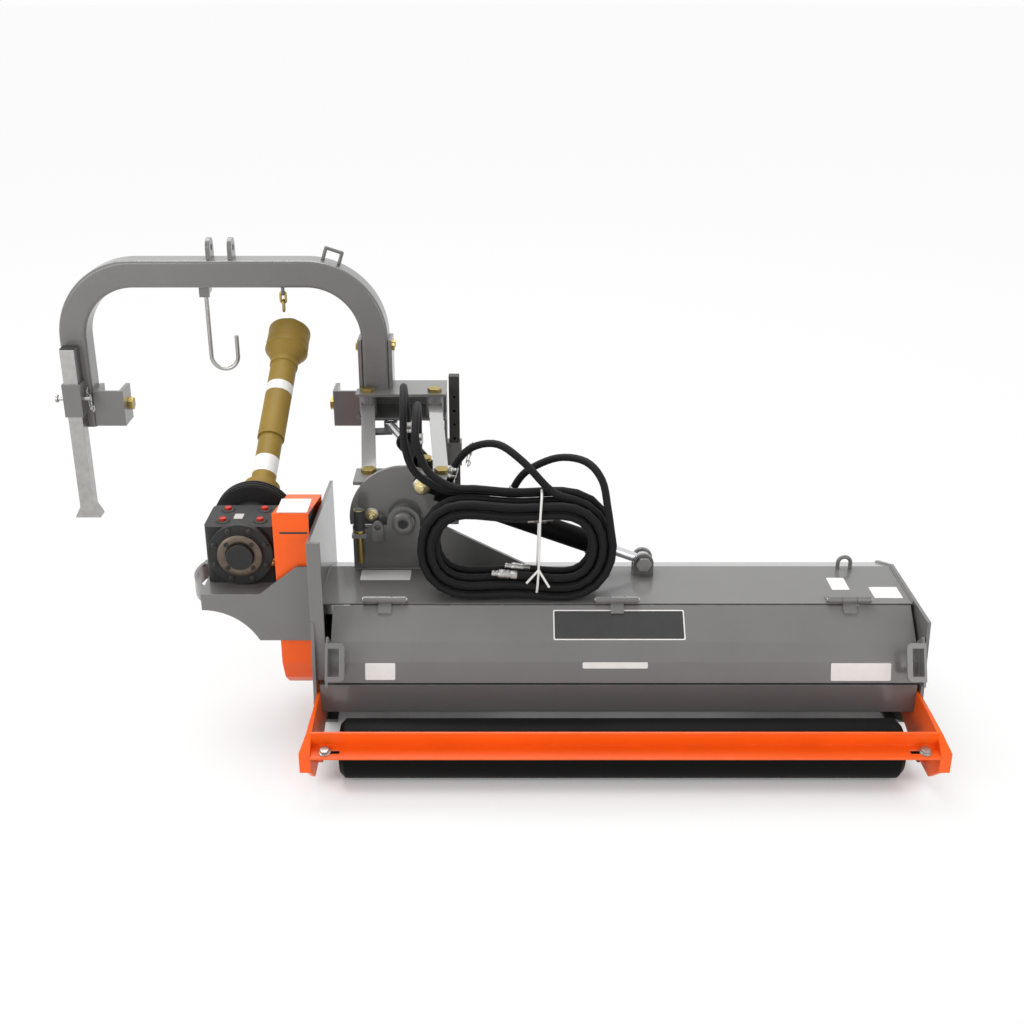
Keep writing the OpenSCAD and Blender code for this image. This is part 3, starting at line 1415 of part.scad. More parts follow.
module right_parking_leg() {
  color("gray") translate([right_leg[0], right_leg[1], 0]) {
    difference() {
      square_tube(right_leg_w, leg_wall, right_leg_foot_z, right_leg_top_z);
      for (z = [right_leg_foot_z + stand_hole_step : stand_hole_step : right_leg_top_z - stand_hole_step])
        rod_y([0, -right_leg_w, z], stand_hole_r, 2 * right_leg_w);
    }
    along_z(right_leg_top_z, right_leg_top_z + leg_wall) square(right_leg_w, center = true);
    along_z(right_leg_foot_z - leg_wall, right_leg_foot_z) square(right_leg_w + foot_flare, center = true);
  }
}

// Drive shaft: universal joint, telescopic shaft and its guards, along +Y of the shaft
module at_joint() { translate(joint_at) rotate([0, 0, shaft_swing]) children(); }
module at_shaft() { at_joint() rotate([shaft_rise, 0, 0]) children(); }
module input_yoke() {
  color("dimgray") at_joint() difference() {
    union() {
      for (s = [0, 1]) mirror([0, 0, s]) along_z(yoke_gap / 2, yoke_gap / 2 + yoke_t) {
        translate([-yoke_w / 2, -yoke_back]) square([yoke_w, yoke_back]);
        circle(r = yoke_w / 2);
      }
      block([-yoke_w / 2, -yoke_back - yoke_t, -yoke_gap / 2 - yoke_t],
        [yoke_w / 2, -yoke_back, yoke_gap / 2 + yoke_t]);
      rotate([0, 0, -shaft_swing]) rod_y([0, gearbox_half_d - joint_ahead, 0], shaft_bar_r,
        joint_ahead - gearbox_half_d - yoke_back);
    }
    rod_z([0, 0, -yoke_gap], cross_r + run_gap, 2 * yoke_gap);
  }
}
module joint_cross() {
  color("silver") at_joint() {
    rod_z([0, 0, -cross_l / 2], cross_r, cross_l);
    rod_x([-cross_l / 2, 0, 0], cross_r, cross_l);
  }
}
module inner_shaft() {
  color("dimgray") at_shaft() difference() {
    union() {
      for (s = [0, 1]) mirror([s, 0, 0]) along_x(yoke_gap / 2, yoke_gap / 2 + yoke_t) {
        translate([0, -yoke_w / 2]) square([yoke_back, yoke_w]);
        circle(r = yoke_w / 2);
      }
      block([-yoke_gap / 2 - yoke_t, yoke_back, -yoke_w / 2],
        [yoke_gap / 2 + yoke_t, yoke_back + yoke_t, yoke_w / 2]);
      rod_y([0, yoke_back, 0], shaft_bar_r, shaft_bar_to - yoke_back);
    }
    rod_x([-yoke_gap, 0, 0], cross_r + run_gap, 2 * yoke_gap);
  }
}
module inner_guard() {
  r = guard_tube_d / 2 - guard_wall - sleeve_fit;
  color("goldenrod") at_shaft() difference() {
    union() {
      rod_y([0, inner_guard_from, 0], r, inner_guard_len);
      rod_y([0, inner_guard_from, 0], collar_r, collar_l);
    }
    rod_y([0, inner_guard_from + guard_wall, 0], r - guard_wall, inner_guard_len);
    rod_y([0, inner_guard_from - over, 0], shaft_bar_r + run_gap, inner_guard_len);
  }
}
module outer_guard() {
  r = guard_tube_d / 2;
  cone_r = guard_cone_d / 2;
  color("goldenrod") at_shaft() rotate([-90, 0, 0]) rotate_extrude() {
    translate([r - guard_wall, outer_guard_from]) square([guard_wall, outer_guard_to - outer_guard_from]);
    polygon([[shaft_tube_r + run_gap, outer_guard_to], [r, outer_guard_to],
      [cone_r, outer_guard_to + cone_len / 3],
      [cone_r, outer_guard_to + cone_len], [cone_r - guard_wall, outer_guard_to + cone_len],
      [cone_r - guard_wall, outer_guard_to + cone_len / 3 + guard_wall], [r, outer_guard_to + guard_wall],
      [shaft_tube_r + run_gap, outer_guard_to + guard_wall]]);
  }
}
module tractor_yoke() {
  color("dimgray") at_shaft() difference() {
    union() {
      rod_y([0, shaft_tube_from, 0], shaft_tube_r, outer_guard_to + cone_len / 3 - shaft_tube_from);
      rod_y([0, outer_guard_to + cone_len / 3, 0], yoke_hub_r,
        drive_shaft_len - outer_guard_to - cone_len / 3);
    }
    rod_y([0, shaft_tube_from - over, 0], shaft_bar_r + sleeve_fit, outer_guard_to - shaft_tube_from);
    rod_y([0, drive_shaft_len - yoke_bore_depth, 0], yoke_bore / 2, yoke_bore_depth + over);
  }
}

// Chain from the hitch tube down to the guard cone
module chain_link() {
  r = chain_link_w / 2 - chain_wire_r;
  straight = chain_link_l - chain_link_w;
  for (s = [0, 1]) mirror([0, 0, s]) translate([0, 0, straight / 2]) rotate([90, 0, 0])
    rotate_extrude(angle = 180) translate([r, 0]) circle(r = chain_wire_r);
  for (s = [-1, 1]) rod_z([s * r, 0, -straight / 2], chain_wire_r, straight);
}
module shaft_chain() {
  step = chain_link_l - 4 * chain_wire_r - chain_slack;
  top = arch_top_z - tube_w - chain_lug_l + 3 * chain_wire_r + chain_slack;
  color("silver") for (i = [0 : chain_links - 1])
    translate([chain_x, chain_y, top - chain_link_l / 2 - step * i]) rotate([0, 0, 90 * (i % 2)])
      chain_link();
}
module chain_lug() {
  translate([chain_x, chain_y, arch_top_z - tube_w - chain_lug_l + chain_lug_r]) {
    for (s = [-1, 1]) rod_z([0, s * chain_lug_r, 0], chain_wire_r, chain_lug_l - chain_lug_r);
    rotate([90, 0, 90]) rotate([0, 0, 180]) rotate_extrude(angle = 180)
      translate([chain_lug_r, 0]) circle(r = chain_wire_r);
  }
}

// Hydraulic hoses: a free lead from each port, then a tied hank
function catmull(a, b, c, d, t) =
  0.5 * (2 * b + (c - a) * t + (2 * a - 5 * b + 4 * c - d) * t * t + (3 * b - a - 3 * c + d) * t * t * t);
function smooth_path(p, cuts) = let (n = len(p)) concat(
  [for (i = [0 : n - 2], k = [0 : cuts - 1])
    catmull(p[max(i - 1, 0)], p[i], p[i + 1], p[min(i + 2, n - 1)], k / cuts)],
  [p[n - 1]]);
function tangent(p, i) = unit(p[min(i + 1, len(p) - 1)] - p[max(i - 1, 0)]);
function ring(p, i, r, sides, ref) =
  let (t = tangent(p, i), b = unit(cross(t, ref)), n = cross(b, t))
  [for (k = [0 : sides - 1]) p[i] + r * (cos(360 * k / sides) * n + sin(360 * k / sides) * b)];
module hose_tube(p, r, sides, ref) {
  n = len(p);
  points = concat([for (i = [0 : n - 1]) each ring(p, i, r, sides, ref)], [p[0], p[n - 1]]);
  walls = [for (i = [0 : n - 2], k = [0 : sides - 1]) let (a = i * sides + k, b = i * sides + (k + 1) % sides)
    each [[a, b, b + sides], [a, b + sides, a + sides]]];
  caps = [for (k = [0 : sides - 1]) let (m = (k + 1) % sides, e = (n - 1) * sides)
    each [[n * sides, m, k], [n * sides + 1, e + k, e + m]]];
  polyhedron(points, concat(walls, caps));
}
function loop_base(t) = [hank_a * cos(t), hank_b * (sin(t) + hank_waist_share * sin(3 * t))];
function loop_step(t) = [hank_a * sin(t), -hank_b * (cos(t) + 3 * hank_waist_share * cos(3 * t))];
function loop_out(t) = let (d = unit(loop_step(t))) [-d[1], d[0]];
function hank_point(i, s) =
  let (t = hose_starts[i] - s * hose_sweep(i),
    p = loop_base(t) + loop_out(t) * hank_step * hose_sweep(i) / 360 * (1 - s))
  [hank_x + p[0], hank_y + i * hank_layer + hank_lean_share * p[1], hank_z + p[1]];
function hose_sweep(i) = hose_turn_ends[i] + 360 * hose_loops;
function hank_path(i) =
  let (n = round(loop_rings * hose_sweep(i) / 360)) [for (k = [0 : n]) hank_point(i, k / n)];
tilt_port_up = [-sin(tilt_turn), 0, cos(tilt_turn)];
function tilt_port(k) =
  [tilt_anchor[0], tilt_y, tilt_anchor[1]]
  + [cos(tilt_turn), 0, sin(tilt_turn)] * (tilt_body_from + port_inset + k * tilt_port_step)
  + tilt_port_up * (tilt_barrel_d / 2 + port_h);
function shift_port(k) =
  [shift_pin[0], shift_pin[1], shift_z + shift_barrel_d / 2 + port_h]
  + [cos(shift_turn), sin(shift_turn), 0] * (shift_body_from + port_inset + k * shift_port_step);
function lead_start(i) = i < 2 ? tilt_port(1 - i) : shift_port(i - 2);
// A lead leaves its port square and runs straight into the hank
function lead_path(i) =
  let (h = hank_path(i), d = unit(h[0] - h[1]), a = lead_start(i), up = i < 2 ? tilt_port_up : [0, 0, 1],
    p = smooth_path(concat([a, a + up * lead_rise], hose_routes[i], [h[0] + d * hose_d * 3, h[0]]), 2),
    n = len(p))
  concat([a + up * lead_gap], [for (k = [2 : n - 3]) p[k]], [h[0] + d * lead_gap]);
hank_normal = unit([0, 1, -hank_lean_share]);
module hose_leads() {
  color("black") for (i = [0 : hose_count - 1]) hose_tube(lead_path(i), hose_d / 2, lead_sides, lead_ref);
}
module hose_hank() {
  color("black") for (i = [0 : hose_count - 1])
    hose_tube(hank_path(i), hose_d / 2, loop_sides, hank_normal);
}
module hose_couplers() {
  color("silver") for (i = [0 : hose_count - 1]) {
    h = hank_path(i);
    d = tangent(h, len(h) - 1);
    translate(h[len(h) - 1]) rotate([0, acos(d[2]), atan2(d[1], d[0])]) {
      cylinder(r = coupler_nut_r, h = coupler_nut_l, $fn = 6);
      translate([0, 0, coupler_nut_l]) cylinder(r = coupler_r, h = coupler_l);
      translate([0, 0, coupler_nut_l + coupler_l]) cylinder(r = coupler_tip_r, h = coupler_tip_l);
    }
  }
}
// Least gap of each hank to itself, half a loop or more apart
function least_gap(p, apart) =
  min([for (i = [0 : len(p) - 1 - apart], j = [i + apart : len(p) - 1]) norm(p[i] - p[j])]) - hose_d;
echo(hank_least_gaps = [for (i = [0 : hose_count - 1]) least_gap(hank_path(i), loop_rings / 2)]);

// Each sub-part, moved so that the origin is the middle of the footprint
placed() housing_shell();
placed() rear_crossbar();
placed() left_side_plate();
placed() right_side_plate();
placed() skids();
placed() flap_rod();
placed() front_flaps();
placed() hood_panel();
placed() hood_handles();
placed() rear_roller();
placed() roller_brackets();
placed() scraper_bar();
placed() deck_bolts();
placed() rotor_drum();
placed() flails_row_1();
placed() flails_row_2();
placed() flails_row_3();
placed() flails_row_4();
placed() rotor_bearings();
placed() drive_belts();
placed() rotor_pulley();
placed() drive_pulley();
placed() belt_guard_upper();
placed() belt_guard_lower();
placed() gearbox_case();
placed() gearbox_cap();
placed() gearbox_plugs();
placed() gearbox_shelf();
placed() drive_bell();
placed() pivot_bracket();
placed() deck_pins();
placed() lock_pin();
placed() turret();
placed() turret_pins();
placed() left_swing_arm();
placed() right_swing_arm();
placed() shift_barrel();
placed() shift_rod();
placed() tilt_barrel();
placed() tilt_rod();
placed() deck_lugs();
placed() hitch_arch();
placed() arm_carrier();
placed() arch_pins();
placed() hitch_ears();
placed() arch_lugs();
placed() shaft_hook();
placed() leg_pins();
placed() left_parking_leg();
placed() right_parking_leg();
placed() input_yoke();
placed() joint_cross();
placed() inner_shaft();
placed() inner_guard();
placed() outer_guard();
placed() tractor_yoke();
placed() shaft_chain();
placed() hose_leads();
placed() hose_hank();
placed() hose_couplers();
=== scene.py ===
"""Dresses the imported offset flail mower: finishes, hydraulic hoses, small fittings and a studio stage."""

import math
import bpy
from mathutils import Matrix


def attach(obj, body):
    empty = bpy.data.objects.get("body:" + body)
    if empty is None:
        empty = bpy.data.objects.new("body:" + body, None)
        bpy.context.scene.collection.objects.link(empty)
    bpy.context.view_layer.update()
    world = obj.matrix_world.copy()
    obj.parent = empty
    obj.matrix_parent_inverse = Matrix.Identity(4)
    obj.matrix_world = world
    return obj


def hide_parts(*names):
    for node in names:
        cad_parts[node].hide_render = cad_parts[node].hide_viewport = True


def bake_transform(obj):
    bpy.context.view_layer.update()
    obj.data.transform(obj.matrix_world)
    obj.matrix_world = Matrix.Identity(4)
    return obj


bl_info = {
    "name": "Offset Flail Mower",
    "version": (1, 0, 0),
    "blender": (4, 5, 0),
    "location": "3D View > Sidebar > Mower",
    "description": "Finishes, hydraulic hoses and small fittings for the packed offset flail mower",
    "category": "Object",
}

import bmesh
import bpy
from bpy.props import FloatProperty, FloatVectorProperty, IntProperty, PointerProperty
from mathutils import Matrix, Vector

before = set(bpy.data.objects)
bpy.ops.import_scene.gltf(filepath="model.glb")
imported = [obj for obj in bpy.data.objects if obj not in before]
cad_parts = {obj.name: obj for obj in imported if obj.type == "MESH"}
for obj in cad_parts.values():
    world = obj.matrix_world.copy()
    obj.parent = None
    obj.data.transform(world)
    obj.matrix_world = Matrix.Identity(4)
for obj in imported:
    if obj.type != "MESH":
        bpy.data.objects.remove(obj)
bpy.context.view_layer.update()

MM = 0.001
# Middle of the footprint in the deck's own measures, which the part's source uses
ORIGIN = Vector((-391.3, 442.174, 0.0))


def at(x, y, z):
    """A point of the deck's own measures, in millimetres, as a place in the frame in metres."""
    return (Vector((x, y, z)) - ORIGIN) * MM


def linear(code):
    """An sRGB hex colour as linear red, green and blue."""
    parts = [int(code[i : i + 2], 16) / 255 for i in (1, 3, 5)]
    return [c / 12.92 if c <= 0.04045 else ((c + 0.055) / 1.055) ** 2.4 for c in parts]


# What a user would change


def paint_colour(label, note, code):
    """A colour property that opens on a sRGB hex value."""
    return FloatVectorProperty(
        name=label, description=note, subtype="COLOR", size=3, min=0, max=1, default=linear(code)
    )


class MowerColours(bpy.types.PropertyGroup):
    """Colours of the painted, plated and moulded pieces."""

    grey: paint_colour("Frame Grey", "Powder coat of the deck, hood and hitch", "#696867")
    orange: paint_colour("Guard Orange", "Enamel of the belt guard and scraper", "#f65c0c")
    guard: paint_colour("Shaft Guard", "Moulded guard of the drive shaft", "#8f7530")
    casting: paint_colour("Gearbox Black", "Paint of the gearbox casting", "#232222")
    plugs: paint_colour("Plug Red", "Caps on the gearbox", "#c4301f")
    hose: paint_colour("Hose Sleeve", "Woven sleeve over the hoses", "#0e0e0e")


class MowerHoses(bpy.types.PropertyGroup):
    """Sizes of the hydraulic hoses and their tied hank."""

    diameter: FloatProperty(
        name="Diameter",
        description="Outside of the woven sleeve",
        default=0.019,
        min=0.016,
        max=0.02,
        unit="LENGTH",
    )
    loop_points: IntProperty(
        name="Points in a Loop", description="Points for each turn of the hank", default=36, min=24, max=60
    )
    tie_width: FloatProperty(
        name="Tie Width",
        description="Width of the cord tie",
        default=0.006,
        min=0.003,
        max=0.012,
        unit="LENGTH",
    )


class MowerStage(bpy.types.PropertyGroup):
    """Floor, lamps and lens of the studio."""

    floor: paint_colour("Floor", "Pale studio floor", "#f4f4f3")
    lens: FloatProperty(
        name="Lens",
        description="Focal length at the photograph's view",
        default=45.7,
        min=20,
        max=120,
        unit="CAMERA",
    )
    key_power: FloatProperty(
        name="Key Lamp", description="Power of the large lamp over the deck", default=320, min=0, unit="POWER"
    )
    sky: FloatProperty(
        name="Sky", description="Strength of the even light all round", default=0.46, min=0, max=1
    )


# Small tools that every piece uses

# Edges sharper than this, in degrees, are drawn sharp
SHARP_ANGLE = 40


def add_node(tree, kind, inputs=None, out=None, **settings):
    """Adds a node, gives its inputs values or other nodes' outputs, and returns its own output."""
    node = tree.nodes.new(kind)
    for key, value in settings.items():
        setattr(node, key, value)
    for key, value in (inputs or {}).items():
        socket = node.inputs[key] if isinstance(key, int) else next(
            s for s in node.inputs if s.name == key and s.enabled
        )
        if isinstance(value, bpy.types.NodeSocket):
            tree.links.new(value, socket)
        elif socket.type == "RGBA":
            socket.default_value = [*value, 1][:4]
        else:
            socket.default_value = value
    return next((s for s in node.outputs if s.enabled and out in (None, s.name)), None)


def empty_material(name):
    """A material with no nodes yet, and its node tree."""
    material = bpy.data.materials.new(name)
    material.use_nodes = True
    material.node_tree.nodes.clear()
    return material, material.node_tree


def new_piece(name, shape, body, material):
    """Makes an object of a bmesh in the frame, puts it on a CAD body and shades it by angle."""
    mesh = bpy.data.meshes.new(name)
    shape.to_mesh(mesh)
    shape.free()
    return place_mesh(name, mesh, body, material)


def link_mesh(name, mesh, material):
    """Makes an object of a mesh, with one finish, shaded by angle."""
    piece = bpy.data.objects.new(name, mesh)
    bpy.context.scene.collection.objects.link(piece)
    mesh.materials.clear()
    mesh.materials.append(material)
    mesh.polygons.foreach_set("use_smooth", [True] * len(mesh.polygons))
    mesh.set_sharp_from_angle(angle=math.radians(SHARP_ANGLE))
    return piece


def place_mesh(name, mesh, body, material):
    """Links a mesh as a piece that rides on a CAD body."""
    piece = link_mesh(name, mesh, material)
    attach(piece, body)
    return piece


def tube_mesh(name, points, radius, closed=False, ripple=0.0):
    """A round tube along points, or a rippled bead, as a mesh whose place is in its vertices."""
    curve = bpy.data.curves.new(name, "CURVE")
    curve.dimensions = "3D"
    curve.bevel_depth, curve.bevel_resolution, curve.use_fill_caps = radius, 3, not closed
    spline = curve.splines.new("POLY")
    spline.points.add(len(points) - 1)
    for k, (knot, p) in enumerate(zip(spline.points, points)):
        knot.co, knot.radius = (*p, 1), 1 - ripple * (k % 2)
    spline.use_cyclic_u = closed
    guide = bpy.data.objects.new(name, curve)
    mesh = bpy.data.meshes.new_from_object(guide)
    bpy.data.objects.remove(guide)
    bpy.data.curves.remove(curve)
    return mesh


def bent_wire(name, points, radius, body, material, closed=False, ripple=0.0):
    """A wire, cord or weld bead that rides on a CAD body."""
    return place_mesh(name, tube_mesh(name, points, radius, closed, ripple), body, material)


def facing(direction, origin):
    """A matrix that turns +Z to a direction and moves it to a place."""
    turn = Vector(direction).to_track_quat("Z", "Y").to_matrix().to_4x4()
    return Matrix.Translation(origin) @ turn


def round_bevel(shape, width, segments=2, angle=30):
    """Rounds the edges of a bmesh that are sharper than an angle."""
    edges = [e for e in shape.edges if len(e.link_faces) == 2 and e.calc_face_angle() > math.radians(angle)]
    bmesh.ops.bevel(
        shape, geom=edges, offset=width, affect="EDGES", segments=segments, profile=0.5, material=-1
    )


def smooth_route(knots, cuts):
    """Points on one smooth curve through the knots."""
    route = []
    for i in range(len(knots) - 1):
        a, b, c, d = (knots[min(max(k, 0), len(knots) - 1)] for k in (i - 1, i, i + 1, i + 2))
        for k in range(cuts):
            t = k / cuts
            route.append(
                0.5
                * (2 * b + (c - a) * t + (2 * a - 5 * b + 4 * c - d) * t**2 + (3 * b - a - 3 * c + d) * t**3)
            )
    return route + [knots[-1]]


# Finishes, each named for the real material


def scaled(colour, by):
    """A colour made darker or paler."""
    return [min(1, c * by) for c in colour]


def worn_edge(tree, radius):
    """Normals rounded over the edges, and how far each point is on one: 1 at a corner, 0 on a flat."""
    rounded = add_node(tree, "ShaderNodeBevel", {"Radius": radius}, samples=6)
    flat = add_node(tree, "ShaderNodeNewGeometry", out="Normal")
    along = add_node(
        tree, "ShaderNodeVectorMath", {0: rounded, 1: flat}, out="Value", operation="DOT_PRODUCT"
    )
    edge = add_node(tree, "ShaderNodeMapRange", {"Value": along, "From Min": 0.995, "From Max": 0.86})
    return rounded, edge


def powder_coat(name, colour, worn, roughness, wear=0.5, coat=0.6, shine=0.5):
    """Powder coat on steel: an even semi-gloss film with orange peel, drifting dust and edges rubbed pale."""
    material, tree = empty_material(name)
    place = add_node(tree, "ShaderNodeTexCoord", out="Object")
    normal, edge = worn_edge(tree, 0.0022)
    # Orange peel is about 1 mm across; drawn at 4 mm so that the render shows it
    peel = add_node(tree, "ShaderNodeTexNoise", {"Vector": place, "Scale": 250, "Detail": 2})
    # Dust and handling marks drift over 80 to 300 mm
    dust = add_node(tree, "ShaderNodeTexNoise", {"Vector": place, "Scale": 5, "Detail": 6, "Roughness": 0.62})
    film = add_node(
        tree,
        "ShaderNodeMix",
        {"Factor": dust, "A": scaled(colour, 0.84), "B": scaled(colour, 1.15)},
        data_type="RGBA",
    )
    # Rub marks come in patches of about 30 mm along the edges
    patch = add_node(tree, "ShaderNodeTexNoise", {"Vector": place, "Scale": 34, "Detail": 4})
    bare = add_node(
        tree, "ShaderNodeMapRange", {"Value": patch, "From Min": 0.38, "From Max": 0.7, "To Max": wear}
    )
    rub = add_node(tree, "ShaderNodeMath", {0: edge, 1: bare}, operation="MULTIPLY")
    shade = add_node(tree, "ShaderNodeMix", {"Factor": rub, "A": film, "B": worn}, data_type="RGBA")
    gloss = add_node(
        tree, "ShaderNodeMapRange", {"Value": dust, "To Min": roughness - 0.08, "To Max": roughness + 0.1}
    )
    bump = add_node(
        tree, "ShaderNodeBump", {"Height": peel, "Strength": 0.05, "Distance": 0.001, "Normal": normal}
    )
    paint = add_node(
        tree,
        "ShaderNodeBsdfPrincipled",
        {
            "Base Color": shade,
            "Roughness": gloss,
            "Normal": bump,
            "IOR": 1.5,
            "Specular IOR Level": shine,
            "Coat Weight": coat,
            "Coat Roughness": 0.1,
        },
    )
    add_node(tree, "ShaderNodeOutputMaterial", {"Surface": paint})
    return material


def cast_iron(name, colour, roughness, metallic=0.0):
    """Sand-cast iron: a pebbled skin with dull high spots, painted or bare."""
    material, tree = empty_material(name)
    place = add_node(tree, "ShaderNodeTexCoord", out="Object")
    normal, edge = worn_edge(tree, 0.003)
    # Sand grain is under 1 mm; drawn at 3 mm so that the render shows it
    sand = add_node(tree, "ShaderNodeTexNoise", {"Vector": place, "Scale": 330, "Detail": 4})
    # Oil and dirt stain patches of about 50 mm
    stain = add_node(tree, "ShaderNodeTexNoise", {"Vector": place, "Scale": 18, "Detail": 5})
    skin = add_node(
        tree,
        "ShaderNodeMix",
        {"Factor": stain, "A": scaled(colour, 0.7), "B": scaled(colour, 1.35)},
        data_type="RGBA",
    )
    rub = add_node(tree, "ShaderNodeMath", {0: edge, 1: 0.3}, operation="MULTIPLY")
    shade = add_node(
        tree, "ShaderNodeMix", {"Factor": rub, "A": skin, "B": linear("#7d7a76")}, data_type="RGBA"
    )
    gloss = add_node(
        tree, "ShaderNodeMapRange", {"Value": sand, "To Min": roughness - 0.12, "To Max": roughness + 0.12}
    )
    bump = add_node(
        tree, "ShaderNodeBump", {"Height": sand, "Strength": 0.22, "Distance": 0.001, "Normal": normal}
    )
    iron = add_node(
        tree,
        "ShaderNodeBsdfPrincipled",
        {
            "Base Color": shade,
            "Roughness": gloss,
            "Normal": bump,
            "Metallic": metallic,
            "Specular IOR Level": 0.3,
        },
    )
    add_node(tree, "ShaderNodeOutputMaterial", {"Surface": iron})
    return material


def plated_steel(name, pale, dark, roughness, streak=(60, 60, 60)):
    """Plated, drawn or ground steel: metal whose tone and gloss wander along the grain."""
    material, tree = empty_material(name)
    place = add_node(tree, "ShaderNodeTexCoord", out="Object")
    normal, edge = worn_edge(tree, 0.0015)
    # The streak is in marks to the metre, so 60 is a mark of about 17 mm
    grain = add_node(tree, "ShaderNodeMapping", {"Vector": place, "Scale": streak})
    cloud = add_node(tree, "ShaderNodeTexNoise", {"Vector": grain, "Scale": 1, "Detail": 5, "Roughness": 0.6})
    tone = add_node(tree, "ShaderNodeMix", {"Factor": cloud, "A": dark, "B": pale}, data_type="RGBA")
    shine = add_node(tree, "ShaderNodeMix", {"Factor": edge, "A": tone, "B": pale}, data_type="RGBA")
    gloss = add_node(
        tree,
        "ShaderNodeMapRange",
        {"Value": cloud, "To Min": roughness + 0.1, "To Max": max(0.05, roughness - 0.1)},
    )
    metal = add_node(
        tree,
        "ShaderNodeBsdfPrincipled",
        {"Base Color": shine, "Roughness": gloss, "Normal": normal, "Metallic": 1.0},
    )
    add_node(tree, "ShaderNodeOutputMaterial", {"Surface": metal})
    return material


def moulded(name, colour, roughness, strength=0.12):
    """Moulded plastic or rubber: one colour through and through, with a fine grain, a drifting haze and pale
    rubbed edges.
    """
    material, tree = empty_material(name)
    place = add_node(tree, "ShaderNodeTexCoord", out="Object")
    normal, edge = worn_edge(tree, 0.002)
    # Mould grain is about 0.3 mm; drawn at 2.5 mm so that the render shows it
    grain = add_node(tree, "ShaderNodeTexNoise", {"Vector": place, "Scale": 400, "Detail": 2})
    haze = add_node(tree, "ShaderNodeTexNoise", {"Vector": place, "Scale": 9, "Detail": 5})
    body = add_node(
        tree,
        "ShaderNodeMix",
        {"Factor": haze, "A": scaled(colour, 0.8), "B": scaled(colour, 1.18)},
        data_type="RGBA",
    )
    rub = add_node(tree, "ShaderNodeMath", {0: edge, 1: 0.35}, operation="MULTIPLY")
    pale = scaled([c + 0.02 for c in colour], 1.6)
    shade = add_node(tree, "ShaderNodeMix", {"Factor": rub, "A": body, "B": pale}, data_type="RGBA")
    gloss = add_node(
        tree, "ShaderNodeMapRange", {"Value": haze, "To Min": roughness - 0.08, "To Max": roughness + 0.1}
    )
    bump = add_node(
        tree, "ShaderNodeBump", {"Height": grain, "Strength": strength, "Distance": 0.001, "Normal": normal}
    )
    plastic = add_node(
        tree,
        "ShaderNodeBsdfPrincipled",
        {"Base Color": shade, "Roughness": gloss, "Normal": bump, "IOR": 1.46, "Specular IOR Level": 0.3},
    )
    add_node(tree, "ShaderNodeOutputMaterial", {"Surface": plastic})
    return material


def woven_sleeve(name, colour, length):
    """Woven nylon sleeve over a rubber hose: two sets of flat yarns that cross, dull with a soft sheen."""
    material, tree = empty_material(name)
    uv = add_node(tree, "ShaderNodeUVMap")
    # Yarns are 1 mm wide; drawn at 6 mm along the hose so that the render shows them
    yarns = length / 0.006
    strands = []
    for lean in (8, -8):
        turned = add_node(
            tree, "ShaderNodeVectorMath", {0: uv, 1: (yarns, lean, 0)}, out="Value", operation="DOT_PRODUCT"
        )
        wave = add_node(tree, "ShaderNodeMath", {0: turned, 1: math.tau}, operation="MULTIPLY")
        strands.append(add_node(tree, "ShaderNodeMath", {0: wave}, operation="SINE"))
    height = add_node(tree, "ShaderNodeMath", {0: strands[0], 1: strands[1]}, operation="MAXIMUM")
    # The yarn height darkens the gaps between yarns as painted shade and lightens the yarn crowns as a
    # painted highlight
    painted_weave_shade = add_node(tree, "ShaderNodeMapRange", {"Value": height, "From Min": -0.6})
    shade = add_node(
        tree,
        "ShaderNodeMix",
        {"Factor": painted_weave_shade, "A": scaled(colour, 0.4), "B": scaled(colour, 1.7)},
        data_type="RGBA",
    )
    bump = add_node(tree, "ShaderNodeBump", {"Height": height, "Strength": 0.35, "Distance": 0.0008})
    sleeve = add_node(
        tree,
        "ShaderNodeBsdfPrincipled",
        {
            "Base Color": shade,
            "Normal": bump,
            "Roughness": 0.6,
            "IOR": 1.45,
            "Specular IOR Level": 0.2,
            "Sheen Weight": 0.05,
        },
    )
    add_node(tree, "ShaderNodeOutputMaterial", {"Surface": sleeve})
    return material


def bare_label(name, colour, scuffed, roughness=0.35):
    """A bare vinyl label or plate: smooth film, a little scuffed, with nothing printed on it."""
    material, tree = empty_material(name)
    place = add_node(tree, "ShaderNodeTexCoord", out="Object")
    # Scuffs are about 20 mm long
    scuff = add_node(
        tree, "ShaderNodeTexNoise", {"Vector": place, "Scale": 45, "Detail": 6, "Roughness": 0.7}
    )
    shade = add_node(tree, "ShaderNodeMix", {"Factor": scuff, "A": colour, "B": scuffed}, data_type="RGBA")
    gloss = add_node(
        tree, "ShaderNodeMapRange", {"Value": scuff, "To Min": roughness, "To Max": roughness + 0.2}
    )
    film = add_node(
        tree,
        "ShaderNodeBsdfPrincipled",
        {"Base Color": shade, "Roughness": gloss, "IOR": 1.5, "Coat Weight": 0.2, "Coat Roughness": 0.2},
    )
    add_node(tree, "ShaderNodeOutputMaterial", {"Surface": film})
    return material


